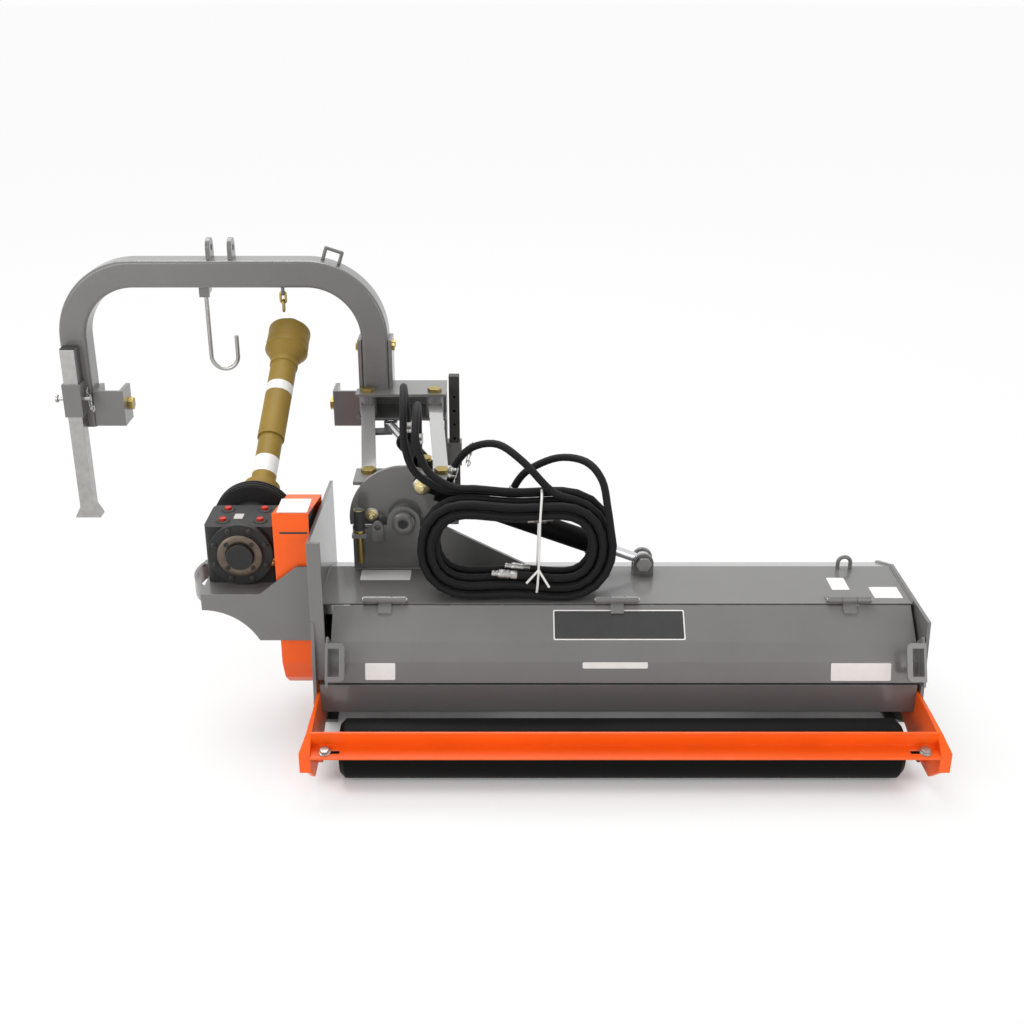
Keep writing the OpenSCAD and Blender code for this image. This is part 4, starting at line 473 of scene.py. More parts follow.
def make_finishes(colours):
    """Builds every finish of the mower by its plain name."""
    pale_zinc, dull_zinc = linear("#bdbcb9"), linear("#8f8e8a")
    tar_black, rubbed_black = linear("#0a0a0a"), linear("#4c4a48")
    tube_grey, rubbed_grey = linear("#3a3936"), linear("#8b8984")
    return {
        "grey_powder_coat": powder_coat("grey_powder_coat", colours.grey, linear("#a9a8a6"), 0.36),
        "orange_enamel": powder_coat("orange_enamel", colours.orange, linear("#f8a06a"), 0.4, 0.4, 0.08, 0.3),
        "black_enamel": powder_coat("black_enamel", tar_black, rubbed_black, 0.5, 0.4, 0.0, 0.08),
        "dark_tube_paint": powder_coat("dark_tube_paint", tube_grey, rubbed_grey, 0.5, 0.6, 0.0, 0.3),
        "gearbox_casting": cast_iron("gearbox_casting", colours.casting, 0.5),
        "bare_casting": cast_iron("bare_casting", linear("#7b7975"), 0.5, 0.6),
        "zinc_plate": plated_steel("zinc_plate", pale_zinc, dull_zinc, 0.32),
        "yellow_zinc": plated_steel("yellow_zinc", linear("#b8a465"), linear("#85713a"), 0.35),
        "chrome_rod": plated_steel("chrome_rod", linear("#e6e6e8"), linear("#cfd0d3"), 0.16, (4, 4, 4)),
        "flail_steel": plated_steel("flail_steel", linear("#8c8781"), linear("#5a534c"), 0.5),
        "forged_steel": plated_steel("forged_steel", linear("#6d6b68"), linear("#45423f"), 0.48),
        "machined_iron": plated_steel("machined_iron", linear("#7a6d62"), linear("#52483f"), 0.45),
        "brass_fitting": plated_steel("brass_fitting", linear("#e2c68a"), linear("#b28f4a"), 0.3),
        "shaft_guard_plastic": moulded("shaft_guard_plastic", colours.guard, 0.48),
        "black_plastic": moulded("black_plastic", linear("#1f1e1e"), 0.52),
        "red_plug_plastic": moulded("red_plug_plastic", colours.plugs, 0.4),
        "black_rubber": moulded("black_rubber", linear("#1c1c1c"), 0.66, 0.2),
        "white_nylon": moulded("white_nylon", linear("#e9e8e4"), 0.5, 0.05),
        "white_label": bare_label("white_label", linear("#f1f0ee"), linear("#dedcd8")),
        "black_plate": bare_label("black_plate", linear("#1b1b1b"), linear("#2a2a2a"), 0.3),
        "silver_plate": bare_label("silver_plate", linear("#c9c8c4"), linear("#aaa9a5"), 0.3),
    }


# CAD nodes by finish
NODE_FINISH = {
    "grey_powder_coat": """housing_shell rear_crossbar left_side_plate right_side_plate skids hood_panel
        hood_handles gearbox_shelf pivot_bracket turret left_swing_arm right_swing_arm deck_lugs hitch_arch
        arm_carrier hitch_ears arch_lugs""",
    "orange_enamel": "belt_guard_upper belt_guard_lower scraper_bar roller_brackets",
    "black_enamel": "rear_roller tilt_barrel shift_barrel rotor_drum",
    "dark_tube_paint": "right_parking_leg",
    "gearbox_casting": "gearbox_case gearbox_cap rotor_bearings",
    "bare_casting": "rotor_pulley drive_pulley",
    "zinc_plate": "flap_rod deck_bolts deck_pins left_parking_leg leg_pins shaft_hook",
    "yellow_zinc": "turret_pins arch_pins lock_pin shaft_chain",
    "chrome_rod": "shift_rod tilt_rod",
    "flail_steel": "flails_row_1 flails_row_2 flails_row_3 flails_row_4",
    "forged_steel": "input_yoke joint_cross inner_shaft tractor_yoke",
    "shaft_guard_plastic": "inner_guard outer_guard",
    "black_plastic": "drive_bell",
    "red_plug_plastic": "gearbox_plugs",
    "black_rubber": "front_flaps drive_belts",
}


class MOWER_OT_finishes(bpy.types.Operator):
    """Make every finish and put it on the CAD nodes"""

    bl_idname = "mower.finishes"
    bl_label = "Finishes"

    def execute(self, context):
        finishes = make_finishes(context.scene.mower_colours)
        for name, nodes in NODE_FINISH.items():
            for node in nodes.split():
                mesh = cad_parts[node].data
                mesh.materials.clear()
                mesh.materials.append(finishes[name])
        return {"FINISHED"}


def background_rays(tree):
    """1 for rays that should see a white background: from the camera, off a gloss or through glass."""
    seen = add_node(tree, "ShaderNodeLightPath", out="Is Camera Ray")
    for kind in ("Is Glossy Ray", "Is Transmission Ray"):
        ray = add_node(tree, "ShaderNodeLightPath", out=kind)
        seen = add_node(tree, "ShaderNodeMath", {0: seen, 1: ray}, operation="MAXIMUM")
    return seen


# Camera of the photograph, in deck measures and degrees from straight down, and its sideways shift in pixels
CAMERA_PLACE, CAMERA_TILT = (-285, -2620, 1790), 67
IMAGE_WIDTH, SHIFT_PIXELS = 1024, 12
# Floor's radius in metres, its height just under the skids, and how white it and the sky look
FLOOR_RADIUS, FLOOR_DROP = 60, 0.0005
FLOOR_WHITE, SKY_WHITE = 0.94, 0.98
# Lamps as name, place, aim, diameter in metres and share of the key lamp's power
LAMPS = (
    ("key_lamp", (-1100, 2500, 5650), (-300, 300, 350), 5.2, 1.0),
    ("left_lamp", (-2500, -1500, 1500), (-700, 500, 500), 2.0, 0.105),
    ("right_lamp", (2000, -2000, 1100), (200, 200, 300), 2.2, 0.08),
)


class MOWER_OT_stage(bpy.types.Operator):
    """Set the camera at the photograph's view, a pale floor and soft lamps"""

    bl_idname = "mower.stage"
    bl_label = "Studio Stage"

    def execute(self, context):
        stage = context.scene.mower_stage
        lens = bpy.data.cameras.new("view_lens")
        lens.lens, lens.sensor_width, lens.shift_x = stage.lens, 36, SHIFT_PIXELS / IMAGE_WIDTH
        lens.clip_end = 200
        camera = bpy.data.objects.new("view_camera", lens)
        context.scene.collection.objects.link(camera)
        camera.location = at(*CAMERA_PLACE)
        camera.rotation_euler = (math.radians(CAMERA_TILT), 0, 0)
        context.scene.camera = camera
        context.scene.view_settings.view_transform = "Standard"

        ground = bmesh.new()
        bmesh.ops.create_circle(ground, cap_ends=True, segments=64, radius=FLOOR_RADIUS)
        mesh = bpy.data.meshes.new("studio_floor")
        ground.to_mesh(mesh)
        ground.free()
        floor = bpy.data.objects.new("studio_floor", mesh)
        context.scene.collection.objects.link(floor)
        floor.location.z = -FLOOR_DROP
        paper, tree = empty_material("studio_paper")
        matt = add_node(tree, "ShaderNodeBsdfDiffuse", {"Color": stage.floor})
        white = add_node(tree, "ShaderNodeEmission", {"Color": (1, 1, 1), "Strength": 1.0})
        # The white glow drops where the deck stands close over the floor: a painted contact shadow under it
        ao_painted_shadow = add_node(tree, "ShaderNodeAmbientOcclusion", {"Distance": 0.5}, out="AO", samples=16)
        glow_with_painted_shadow = add_node(tree, "ShaderNodeMath", {0: ao_painted_shadow, 1: FLOOR_WHITE}, operation="MULTIPLY")
        share = add_node(tree, "ShaderNodeMath", {0: background_rays(tree), 1: glow_with_painted_shadow}, operation="MULTIPLY")
        sheet = add_node(tree, "ShaderNodeMixShader", {0: share, 1: matt, 2: white})
        add_node(tree, "ShaderNodeOutputMaterial", {"Surface": sheet})
        mesh.materials.append(paper)

        world = bpy.data.worlds.new("studio_sky")
        world.use_nodes = True
        context.scene.world = world
        tree = world.node_tree
        tree.nodes.clear()
        rays = background_rays(tree)
        level = add_node(
            tree, "ShaderNodeMapRange", {"Value": rays, "To Min": stage.sky, "To Max": SKY_WHITE}
        )
        sky = add_node(tree, "ShaderNodeBackground", {"Color": (1, 1, 1), "Strength": level})
        add_node(tree, "ShaderNodeOutputWorld", {"Surface": sky})

        for name, place, aim, size, share in LAMPS:
            light = bpy.data.lights.new(name, "AREA")
            light.shape, light.size, light.energy = "DISK", size, stage.key_power * share
            lamp = bpy.data.objects.new(name, light)
            context.scene.collection.objects.link(lamp)
            lamp.location = at(*place)
            lamp.rotation_euler = (at(*aim) - at(*place)).to_track_quat("-Z", "Y").to_euler()
        return {"FINISHED"}


# Hose routes and the hank, as the part's source has them, in millimetres
PORT_TOPS = (
    (-259.839, 395, 545.896),
    (-407.952, 395, 600.909),
    (-494.314, 530.564, 640),
    (-527.425, 620.673, 640),
)
LEAD_ROUTES = (
    ((-243.8, 395, 589), (-211, 385, 630), (-142, 374, 664), (-77, 331, 670), (-39, 292, 637)),
    ((-391.9, 395, 644), (-352, 384, 688), (-290, 360, 704), (-228, 322, 672)),
    (
        (-494.314, 530.564, 686),
        (-492, 503, 743),
        (-491, 452, 773),
        (-490, 391, 765),
        (-488, 340, 719),
        (-461, 318, 652),
    ),
    (
        (-527.425, 620.673, 686),
        (-531, 599, 746),
        (-530, 553, 788),
        (-526, 482, 804),
        (-522, 413, 780),
        (-518, 360, 704),
        (-491, 339, 638),
    ),
)
HANK_CENTRE = (-250, 250, 474.8)
HANK_HALF_LENGTH, HANK_HALF_HEIGHT, HANK_WAIST = 186, 82, 0.2
HANK_STEP, HANK_LAYER, HANK_LEAN, HANK_LOOPS = 24, 19.8, 0.16, 2
HANK_STARTS, HANK_TURN_ENDS = (12, 44, 122, 128), (100, -36, 200, 25)


def hank_point(hose, share):
    """A point of a hose's waisted spiral, from its outer end at 0 to its coupler at 1."""
    sweep = HANK_TURN_ENDS[hose] + 360 * HANK_LOOPS
    t = math.radians(HANK_STARTS[hose] - share * sweep)
    loop = Vector(
        (HANK_HALF_LENGTH * math.cos(t), HANK_HALF_HEIGHT * (math.sin(t) + HANK_WAIST * math.sin(3 * t)))
    )
    along = Vector(
        (HANK_HALF_LENGTH * math.sin(t), -HANK_HALF_HEIGHT * (math.cos(t) + 3 * HANK_WAIST * math.cos(3 * t)))
    ).normalized()
    x, z = loop + Vector((-along.y, along.x)) * HANK_STEP * sweep / 360 * (1 - share)
    return at(HANK_CENTRE[0] + x, HANK_CENTRE[1] + hose * HANK_LAYER + HANK_LEAN * z, HANK_CENTRE[2] + z)


def hose_route(hose, diameter, loop_points):
    """A hose's two runs that meet: a free lead over from its port, then round the hank to its coupler."""
    count = round(loop_points * (HANK_TURN_ENDS[hose] + 360 * HANK_LOOPS) / 360)
    hank = [hank_point(hose, k / count) for k in range(count + 1)]
    lead_in = hank[0] + (hank[0] - hank[1]).normalized() * 3 * diameter
    knots = [at(*PORT_TOPS[hose]), *(at(*p) for p in LEAD_ROUTES[hose]), lead_in, hank[0]]
    return smooth_route(knots, 5), hank


# What each hose's port rides on, and what its lead has settled on at the hank
HOSE_BENDS = (("tilt_cylinder", "tilt_ram"),) * 2 + (("turret_body", "deck"),) * 2


def hose_piece(name, route, diameter, colour):
    """A hose in its woven sleeve along a route, not yet riding on a body, and its length."""
    length = sum((b - a).length for a, b in zip(route, route[1:]))
    sleeve = woven_sleeve(f"sleeve_{name}", colour, length)
    piece = link_mesh(name, tube_mesh(name, route, diameter / 2), sleeve)
    facts = {"exit": route[0], "length": length, "diameter": diameter, "stiffness": "stiff", "path": route}
    return piece, facts


def lathe(shape, profile, matrix, steps=24):
    """Turns a profile of (radius, height) in millimetres about Z and sets it in place."""
    verts = [shape.verts.new((r * MM, 0, z * MM)) for r, z in profile]
    edges = [shape.edges.new(pair) for pair in zip(verts, verts[1:])]
    old = set(shape.verts) - set(verts)
    bmesh.ops.spin(
        shape, geom=verts + edges, cent=(0, 0, 0), axis=(0, 0, 1), angle=math.tau, steps=steps, use_merge=True
    )
    turned = [v for v in shape.verts if v not in old]
    bmesh.ops.remove_doubles(shape, verts=turned, dist=1e-6)
    turned = [v for v in shape.verts if v not in old]
    bmesh.ops.recalc_face_normals(shape, faces=list({f for v in turned for f in v.link_faces}))
    bmesh.ops.transform(shape, matrix=matrix, verts=turned)


class MOWER_OT_hoses(bpy.types.Operator):
    """Run the four hydraulic hoses from their ports into the tied hank, with crimps and couplers"""

    bl_idname = "mower.hoses"
    bl_label = "Hydraulic Hoses"

    def execute(self, context):
        sizes, colours = context.scene.mower_hoses, context.scene.mower_colours
        zinc = bpy.data.materials["zinc_plate"]
        for hose in range(4):
            lead, hank = hose_route(hose, sizes.diameter, sizes.loop_points)
            moving, settled = HOSE_BENDS[hose]
            crimp = bmesh.new()
            collar = ((0, -1), (7, -1), (8.5, 4), (12, 5), (12, 12), (11, 14), (12, 16), (12, 30))
            lathe(crimp, (*collar, (10.2, 33), (0, 33)), facing(lead[1] - lead[0], lead[0]))
            crimp = new_piece(f"hose_crimp_{hose + 1}", crimp, moving, zinc)

            coupler = bmesh.new()
            end = facing(hank[-1] - hank[-2], hank[-1])
            bmesh.ops.create_cone(
                coupler,
                cap_ends=True,
                segments=6,
                radius1=11.5 * MM,
                radius2=11.5 * MM,
                depth=16 * MM,
                matrix=end @ Matrix.Translation((0, 0, 8 * MM)),
            )
            round_bevel(coupler, 0.8 * MM)
            body = ((0, 15), (9.5, 15), (9.5, 18), (11.4, 19), (11.4, 26), (10.4, 27), (11.4, 28), (11.4, 31))
            sleeve = ((10.4, 32), (11.4, 33), (11.4, 44), (10, 46), (8, 46.5))
            tip = ((8, 52), (7, 53), (7, 55), (8, 56), (8, 60), (7, 62), (0, 62))
            lathe(coupler, (*body, *sleeve, *tip), end)
            coupler = new_piece(f"hose_coupler_{hose + 1}", coupler, "deck", zinc)
            name = f"hydraulic_hose_{hose + 1}"
            if settled == "deck":
                piece, facts = hose_piece(name, lead[:-1] + hank, sizes.diameter, colours.hose)
                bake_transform(piece)
            else:
                # The tilt cylinder slides on its rod, so its leads are pieces that end where the hank starts
                run, facts = hose_piece(f"hose_lead_{hose + 1}", lead, sizes.diameter, colours.hose)
                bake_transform(run)
                piece, facts = hose_piece(name, hank, sizes.diameter, colours.hose)
                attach(piece, "deck")
            if hose == 0:
                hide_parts("hose_leads", "hose_hank")
                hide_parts("hose_couplers")
        return {"FINISHED"}


# Tie round the hank: its middle, its half depth and half height, the lean of its sides and its points
TIE_CENTRE, TIE_HALF_DEPTH, TIE_HALF_HEIGHT = (-190, 279.7, 482.5), 43, 124
TIE_SKEW, TIE_POINTS, TIE_KNOT = 6, 32, 17
TIE_ENDS = (Vector((-0.03, -0.012, -0.03)), Vector((0.026, -0.014, -0.04)))


class MOWER_OT_hank_tie(bpy.types.Operator):
    """Tie the hank with a white nylon cord near its waist"""

    bl_idname = "mower.hank_tie"
    bl_label = "Hank Tie"

    def execute(self, context):
        nylon = bpy.data.materials["white_nylon"]
        radius = context.scene.mower_hoses.tie_width / 2
        loop = []
        for k in range(TIE_POINTS):
            c, s = math.cos(math.tau * k / TIE_POINTS), math.sin(math.tau * k / TIE_POINTS)
            out_y = TIE_HALF_DEPTH * math.copysign(abs(c) ** 0.5, c)
            up_z = TIE_HALF_HEIGHT * math.copysign(abs(s) ** 0.5, s)
            x, y, z = TIE_CENTRE
            loop.append(at(x + TIE_SKEW * s, y + out_y + HANK_LEAN * up_z, z + up_z))
        bent_wire("hank_tie", loop, radius, "deck", nylon, closed=True)
        knot = loop[TIE_KNOT]
        for side, end in enumerate(TIE_ENDS):
            bent_wire(f"hank_tie_end_{side + 1}", [knot, knot + end * 0.5, knot + end], radius, "deck", nylon)
        return {"FINISHED"}


def bolt_head(shape, place, radius, height):
    """Adds a washer and a hexagon head, in millimetres, that stand along the Z of a placing matrix."""
    lathe(shape, ((0, -1), (radius * 1.4, -1), (radius * 1.4, 1.4), (radius * 1.32, 1.9), (0, 1.9)), place)
    head = bmesh.ops.create_cone(
        shape,
        cap_ends=True,
        segments=6,
        radius1=radius * MM,
        radius2=radius * MM,
        depth=height * MM,
        matrix=place @ Matrix.Translation((0, 0, (1.9 + height / 2) * MM)),
    )
    rim = list({e for v in head["verts"] for e in v.link_edges})
    bmesh.ops.bevel(
        shape, geom=rim, offset=0.06 * radius * MM, affect="EDGES", segments=2, profile=0.5, material=-1
    )


# Gearbox: the middle of its round cap, the cap's ring and flange faces, and the height of its top
CAP_X, CAP_Z = -908, 477
RING_FACE, FLANGE_FACE, GEARBOX_TOP = 202, 210, 545
RING_PROUD = 1.4
# Radii of the ring's screws and of the flange's bolts, and the places of the plug bosses
SCREW_RADIUS, BOLT_RADIUS = 43, 67
PLUG_X, PLUG_Y = (-953, -863), (256, 324)


class MOWER_OT_gearbox_fittings(bpy.types.Operator):
    """Fit the gearbox with its machined cap ring, cap screws, plug bosses and filler plug"""

    bl_idname = "mower.gearbox_fittings"
    bl_label = "Gearbox Fittings"

    def execute(self, context):
        cast = bpy.data.materials["gearbox_casting"]
        ring = bmesh.new()
        inner = ((32.6, -1), (32.6, 0.8), (33.4, RING_PROUD))
        outer = ((52.6, RING_PROUD), (53.8, 0.4), (53.8, -6), (32.6, -6), (32.6, -1))
        lathe(ring, (*inner, *outer), facing((0, -1, 0), at(CAP_X, RING_FACE, CAP_Z)), 64)
        new_piece("cap_ring", ring, "deck", bpy.data.materials["machined_iron"])

        screws = bmesh.new()
        socket = ((0, 0.5), (2.6, 0.5), (2.9, 3.6), (5.2, 3.6), (5.8, 3), (5.8, -1), (0, -1))
        for k in range(4):
            turn = math.radians(45 + 90 * k)
            x, z = CAP_X + SCREW_RADIUS * math.cos(turn), CAP_Z + SCREW_RADIUS * math.sin(turn)
            lathe(screws, socket, facing((0, -1, 0), at(x, RING_FACE - RING_PROUD, z)), 16)
        for k in range(8):
            turn = math.radians(22.5 + 45 * k)
            x, z = CAP_X + BOLT_RADIUS * math.cos(turn), CAP_Z + BOLT_RADIUS * math.sin(turn)
            bolt_head(screws, facing((0, -1, 0), at(x, FLANGE_FACE, z)), 5.2, 4)
        new_piece("cap_screws", screws, "deck", cast)

        bosses = bmesh.new()
        boss = ((8.4, -1), (8.4, 2.6), (9.4, 3.6), (13.5, 3.6), (15.5, 2.4), (18, 0), (18, -1), (8.4, -1))
        for x in PLUG_X:
            for y in PLUG_Y:
                lathe(bosses, boss, facing((0, 0, 1), at(x, y, GEARBOX_TOP)), 28)
        new_piece("plug_bosses", bosses, "deck", cast)

        plug = bmesh.new()
        bolt_head(plug, facing((0, -1, 0), at(-836, 224, 452)), 8, 7)
        new_piece("filler_plug", plug, "deck", bpy.data.materials["brass_fitting"])
        return {"FINISHED"}


# Yoke joint of the drive shaft and the line of the shaft from it
SHAFT_JOINT, SHAFT_LINE = Vector((CAP_X, 442, CAP_Z)), Vector((0.0439, 0.8375, 0.5446))
# Radii of the guard's tubes and of its cone
UPPER_TUBE, LOWER_TUBE, CONE = 36, 31.7, 57.8


class MOWER_OT_shaft_fittings(bpy.types.Operator):
    """Fit the drive shaft guard with its ribs and bare wrap labels"""

    bl_idname = "mower.shaft_fittings"
    bl_label = "Shaft Fittings"

    def execute(self, context):
        line = facing(SHAFT_LINE, at(*SHAFT_JOINT))
        ribs = bmesh.new()
        for start, radius, width, proud in (
            (500, UPPER_TUBE, 16, 2.6),
            (556, CONE, 7, 1.4),
            (576, CONE, 4, 1.2),
            (619, CONE, 10, 0.8),
        ):
            rib = ((radius, 0), (radius + proud, 0.8), (radius + proud, width - 0.8), (radius, width))
            rib += ((radius - 1, width), (radius - 1, 0), (radius, 0))
            lathe(ribs, rib, line @ Matrix.Translation((0, 0, start * MM)), 48)
        new_piece("guard_ribs", ribs, "shaft_upper", bpy.data.materials["shaft_guard_plastic"])

        for name, body, start, radius, width in (
            ("shaft_label_upper", "shaft_upper", 398, UPPER_TUBE, 30),
            ("shaft_label_lower", "shaft_lower", 128, LOWER_TUBE, 52),
        ):
            wrap = bmesh.new()
            band = ((radius, 0), (radius + 0.5, 0), (radius + 0.5, width), (radius, width), (radius, 0))
            lathe(wrap, band, line @ Matrix.Translation((0, 0, start * MM)), 48)
            new_piece(name, wrap, body, bpy.data.materials["white_label"])
        return {"FINISHED"}


# Tilt pivot, the ends of its hub and the top of the locking pin's stem
PIVOT_X, PIVOT_Z, HUB_REAR, HUB_FRONT = -530, 475, 399, 601
LOCK_PIN_STEM = (-640, 388, 464)
# Nuts on the turret's rear face: name, place and radius
TURRET_NUTS = (("turret_bolt", (-613, 440, 484), 11), ("tilt_eye_bolt", (-480, 382.4, 585), 13))


class MOWER_OT_pivot_fittings(bpy.types.Operator):
    """Fit the tilt pivot with its hub cap, the locking pin with its grip and the cylinder eyes with bolts"""

    bl_idname = "mower.pivot_fittings"
    bl_label = "Pivot Fittings"

    def execute(self, context):
        grey, black = bpy.data.materials["grey_powder_coat"], bpy.data.materials["black_plastic"]
        yellow = bpy.data.materials["yellow_zinc"]
        for side, y, way in (("rear", HUB_REAR, -1), ("front", HUB_FRONT, 1)):
            hub = facing((0, way, 0), at(PIVOT_X, y, PIVOT_Z))
            cap = bmesh.new()
            face = ((12, 0.3), (12, 2.6), (13, 3.4), (25.5, 3.4), (29.4, 0.4))
            skirt = ((29.4, -10.4), (29, -10.4), (29, 0.3), (12, 0.3))
            lathe(cap, (*face, *skirt), hub, 48)
            new_piece(f"hub_cap_{side}", cap, "deck", grey)
            # A black cup stands for the shade deep in the hub's bore: painted shade, not a hole
            painted_bore_shade = bmesh.new()
            cup = ((0, 0.3), (8, 0.3), (8, 1.4), (9, 1.9), (11.6, 1.9), (11.9, 0.2), (11.9, -1), (0, -1))
            lathe(painted_bore_shade, cup, hub, 32)
            new_piece(f"hub_bore_shade_{side}", painted_bore_shade, "deck", black)

        grip = bmesh.new()
        ribs = [(13.3 + 0.9 * (k % 2), 1 + 3 * k) for k in range(18)]
        crown = ((13.3, 55), (10, 57.5), (5, 58.5), (0, 58.8))
        lathe(grip, ((0, 0.4), (12, 0.4), *ribs, *crown), facing((0, 0, 1), at(*LOCK_PIN_STEM)))
        new_piece("lock_pin_grip", grip, "transport_pin", black)

        washers = bmesh.new()
        for name, place, radius in TURRET_NUTS:
            out = facing((0, -1, 0), at(*place))
            ring = radius * 1.75
            lathe(washers, ((0, -1), (ring, -1), (ring, 2), (ring - 1, 2.8), (0, 2.8)), out, 40)
            bolt = bmesh.new()
            bolt_head(bolt, out @ Matrix.Translation((0, 0, 2.6 * MM)), radius, 8)
            stud = radius * 0.55
            lathe(bolt, ((0, 11), (stud, 11), (stud, 17), (stud - 1, 18.5), (0, 18.5)), out)
            new_piece(name, bolt, "turret_body", yellow)
        new_piece("turret_washers", washers, "turret_body", bpy.data.materials["zinc_plate"])
        return {"FINISHED"}


def spring_clip(name, pin, down, side, body):
    """A sprung wire clip: a straight leg through a pin, a coil and a leg that bows over the pin."""
    down, side = Vector(down).normalized(), Vector(side)
    side = (side - down * side.dot(down)).normalized()
    turns = [math.radians(a) for a in range(90, -181, -30)]
    coil = [(34 - 8 * math.cos(a), 8 - 8 * math.sin(a)) for a in turns]
    bow = ((14, 9), (6, 12.5), (-4, 12), (-11, 6), (-18, 3.5), (-25, 6), (-30, 10))
    path = [Vector(p) for p in ((-26, 0), (0, 0), (20, 0), *coil, *bow)]
    points = [at(*pin) + (down * p.x + side * p.y) * MM for p in path]
    bent_wire(name, smooth_route(points, 3), 1.7 * MM, body, bpy.data.materials["zinc_plate"])


# Left parking leg: its line, the height of its tube's top, its lock pin, and both clips' places
LEG_X, LEG_Y, LEG_TOP = -1492, 904.4, 791
PIN_Z, PIN_END_X, LEFT_CLIP_X, RIGHT_CLIP = 644, -1466.4, -1455, (-378, 968, 459)


class MOWER_OT_leg_fittings(bpy.types.Operator):
    """Fit the parking legs with spring clips, a pin end and a tube cap"""

    bl_idname = "mower.leg_fittings"
    bl_label = "Leg Fittings"

    def execute(self, context):
        stub = bmesh.new()
        pin = ((0, -1), (6, -1), (6, 17), (5, 19), (0, 19))
        lathe(stub, pin, facing((1, 0, 0), at(PIN_END_X, LEG_Y, PIN_Z)))
        new_piece("leg_pin_end", stub, "arch", bpy.data.materials["zinc_plate"])
        spring_clip("leg_clip_left", (LEFT_CLIP_X, LEG_Y, PIN_Z), (0.3, -0.5, -0.8), (0.8, -0.5, 0.2), "arch")
        spring_clip("leg_clip_right", RIGHT_CLIP, (-0.2, -0.5, -0.85), (0.8, -0.6, 0.1), "arch")

        cap = bmesh.new()
        size = Matrix.Diagonal((0.039, 0.039, 0.008, 1))
        bmesh.ops.create_cube(cap, size=1, matrix=Matrix.Translation(at(LEG_X, LEG_Y, LEG_TOP)) @ size)
        top = max(cap.faces, key=lambda f: f.calc_center_median().z)
        bmesh.ops.inset_region(cap, faces=[top], thickness=0.005, depth=-0.0025)
        round_bevel(cap, 0.0012)
        new_piece("leg_tube_cap", cap, "left_leg", bpy.data.materials["black_plastic"])
        return {"FINISHED"}


# Hood flats from the hinge down, as depth and height of their upper and lower edges
HOOD_FLATS = (((210, 345), (135, 281)), ((135, 281), (105, 243)), ((105, 243), (90, 194)))


def hood_place(x, flat, share):
    """The place of a plate on a hood flat, at a share of the way down, with Z out and Y up the slope."""
    (y0, z0), (y1, z1) = HOOD_FLATS[flat]
    up = Vector((0, y0 - y1, z0 - z1)).normalized()
    turn = Matrix((Vector((1, 0, 0)), up, Vector((1, 0, 0)).cross(up))).transposed().to_4x4()
    return Matrix.Translation(at(x, y0 + (y1 - y0) * share, z0 + (z1 - z0) * share)) @ turn


def bare_plate(name, place, size, body, material, corner=3.0, thick=0.6):
    """A thin bare plate or label with round corners, its face along the Z of a placing matrix."""
    shape = bmesh.new()
    stretch = Matrix.Diagonal((size[0] * MM, size[1] * MM, 1, 1))
    bmesh.ops.create_grid(shape, x_segments=1, y_segments=1, size=0.5, matrix=stretch)
    bmesh.ops.bevel(
        shape,
        geom=shape.verts[:],
        offset=corner * MM,
        affect="VERTICES",
        segments=4,
        profile=0.5,
        material=-1,
    )
    lifted = bmesh.ops.extrude_face_region(shape, geom=shape.faces[:], use_keep_orig=True)["geom"]
    upper = [v for v in lifted if isinstance(v, bmesh.types.BMVert)]
    bmesh.ops.translate(shape, verts=upper, vec=(0, 0, thick * MM))
    bmesh.ops.recalc_face_normals(shape, faces=shape.faces[:])
    bmesh.ops.transform(shape, matrix=place, verts=shape.verts[:])
    new_piece(name, shape, body, bpy.data.materials[material])


# Height of the deck's top
DECK_TOP = 345


class MOWER_OT_bare_plates(bpy.types.Operator):
    """Put bare plates and labels where the machine carries its plate and notices"""

    bl_idname = "mower.bare_plates"
    bl_label = "Bare Plates"

    def execute(self, context):
        bare_plate("name_plate_edge", hood_place(3, 0, 0.555), (318, 78), "hood", "white_label", 4, 0.5)
        bare_plate("name_plate", hood_place(3, 0, 0.555), (312, 72), "hood", "black_plate", 3, 0.8)
        for name, x, share, size in (
            ("hood_strip", -9, 0.16, (156, 15)),
            ("hood_label_left", -572, 0.45, (72, 41)),
            ("hood_label_right", 580, 0.475, (144, 43)),
        ):
            bare_plate(name, hood_place(x, 2, share), size, "hood", "white_label")
        for name, x, y, size in (
            ("deck_label_left", -576, 372, (127, 58)),
            ("deck_label_middle", 565, 321, (44, 68)),
            ("deck_label_right", 672, 272, (70, 61)),
        ):
            bare_plate(name, Matrix.Translation(at(x, y, DECK_TOP)), size, "deck", "white_label")
        bare_plate("guard_label", Matrix.Translation(at(-772, 217, 602)), (72, 84), "deck", "white_label")
        top = Matrix.Translation(at(-920, 286, GEARBOX_TOP))
        bare_plate("gearbox_plate", top, (22, 30), "deck", "silver_plate", 1.5)
        # A thin black plate stands for the shade inside the guard's slit: painted shade
        rear = Matrix.Translation(at(-770, 168, 553)) @ Matrix.Rotation(math.radians(90), 4, "X")
        bare_plate("guard_slit_shade", rear, (66, 5), "deck", "black_plate", 2.2, 0.4)
        return {"FINISHED"}


# Weld beads: their radius and the height of their middle, both in millimetres, and how far a ripple dips
BEAD_RADIUS, BEAD_Z, BEAD_DIP = 3.2, DECK_TOP + 0.5, 0.12
# Half the 4 mm length of a ripple, in metres
RIPPLE_HALF = 0.002


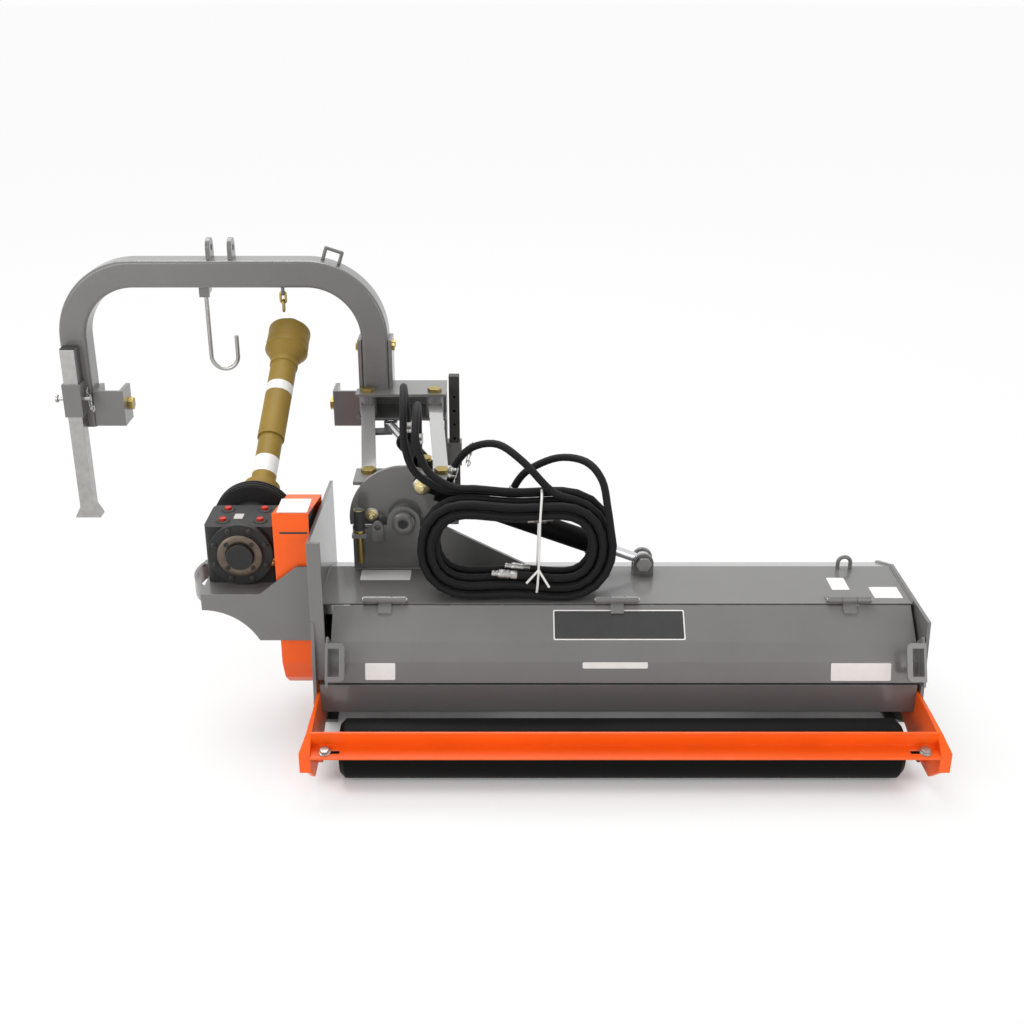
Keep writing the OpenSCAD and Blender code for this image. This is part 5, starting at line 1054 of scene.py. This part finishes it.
class MOWER_OT_weld_beads(bpy.types.Operator):
    """Run painted weld beads along the seams of the deck"""

    bl_idname = "mower.weld_beads"
    bl_label = "Weld Beads"

    def execute(self, context):
        grey = bpy.data.materials["grey_powder_coat"]
        for name, start, end in (
            ("weld_pivot_plate", (-659, 410), (-221, 410)),
            ("weld_left_plate", (-724.5, 216), (-724.5, 423)),
            ("weld_right_plate", (724.5, 216), (724.5, 423)),
        ):
            a, b = at(*start, BEAD_Z), at(*end, BEAD_Z)
            count = round((b - a).length / RIPPLE_HALF)
            points = [a.lerp(b, k / count) for k in range(count + 1)]
            bent_wire(name, points, BEAD_RADIUS * MM, "deck", grey, ripple=BEAD_DIP)
        return {"FINISHED"}


ORDER = (
    "mower.stage",
    "mower.finishes",
    "mower.hoses",
    "mower.hank_tie",
    "mower.gearbox_fittings",
    "mower.shaft_fittings",
    "mower.pivot_fittings",
    "mower.leg_fittings",
    "mower.bare_plates",
    "mower.weld_beads",
)


class MOWER_PT_sidebar(bpy.types.Panel):
    """Lists the mower's pieces in the sidebar"""

    bl_idname = "MOWER_PT_sidebar"
    bl_label = "Offset Flail Mower"
    bl_space_type = "VIEW_3D"
    bl_region_type = "UI"
    bl_category = "Mower"

    def draw(self, context):
        for row in ORDER:
            self.layout.operator(row)


CLASSES = (
    MowerColours,
    MowerHoses,
    MowerStage,
    MOWER_OT_stage,
    MOWER_OT_finishes,
    MOWER_OT_hoses,
    MOWER_OT_hank_tie,
    MOWER_OT_gearbox_fittings,
    MOWER_OT_shaft_fittings,
    MOWER_OT_pivot_fittings,
    MOWER_OT_leg_fittings,
    MOWER_OT_bare_plates,
    MOWER_OT_weld_beads,
    MOWER_PT_sidebar,
)


def register():
    for cls in CLASSES:
        bpy.utils.register_class(cls)
    bpy.types.Scene.mower_colours = PointerProperty(type=MowerColours)
    bpy.types.Scene.mower_hoses = PointerProperty(type=MowerHoses)
    bpy.types.Scene.mower_stage = PointerProperty(type=MowerStage)


def unregister():
    del bpy.types.Scene.mower_colours, bpy.types.Scene.mower_hoses, bpy.types.Scene.mower_stage
    for cls in reversed(CLASSES):
        bpy.utils.unregister_class(cls)


def main():
    register()
    for step in ORDER:
        group, name = step.split(".")
        getattr(getattr(bpy.ops, group), name)()


if __name__ == "__main__":
    main()
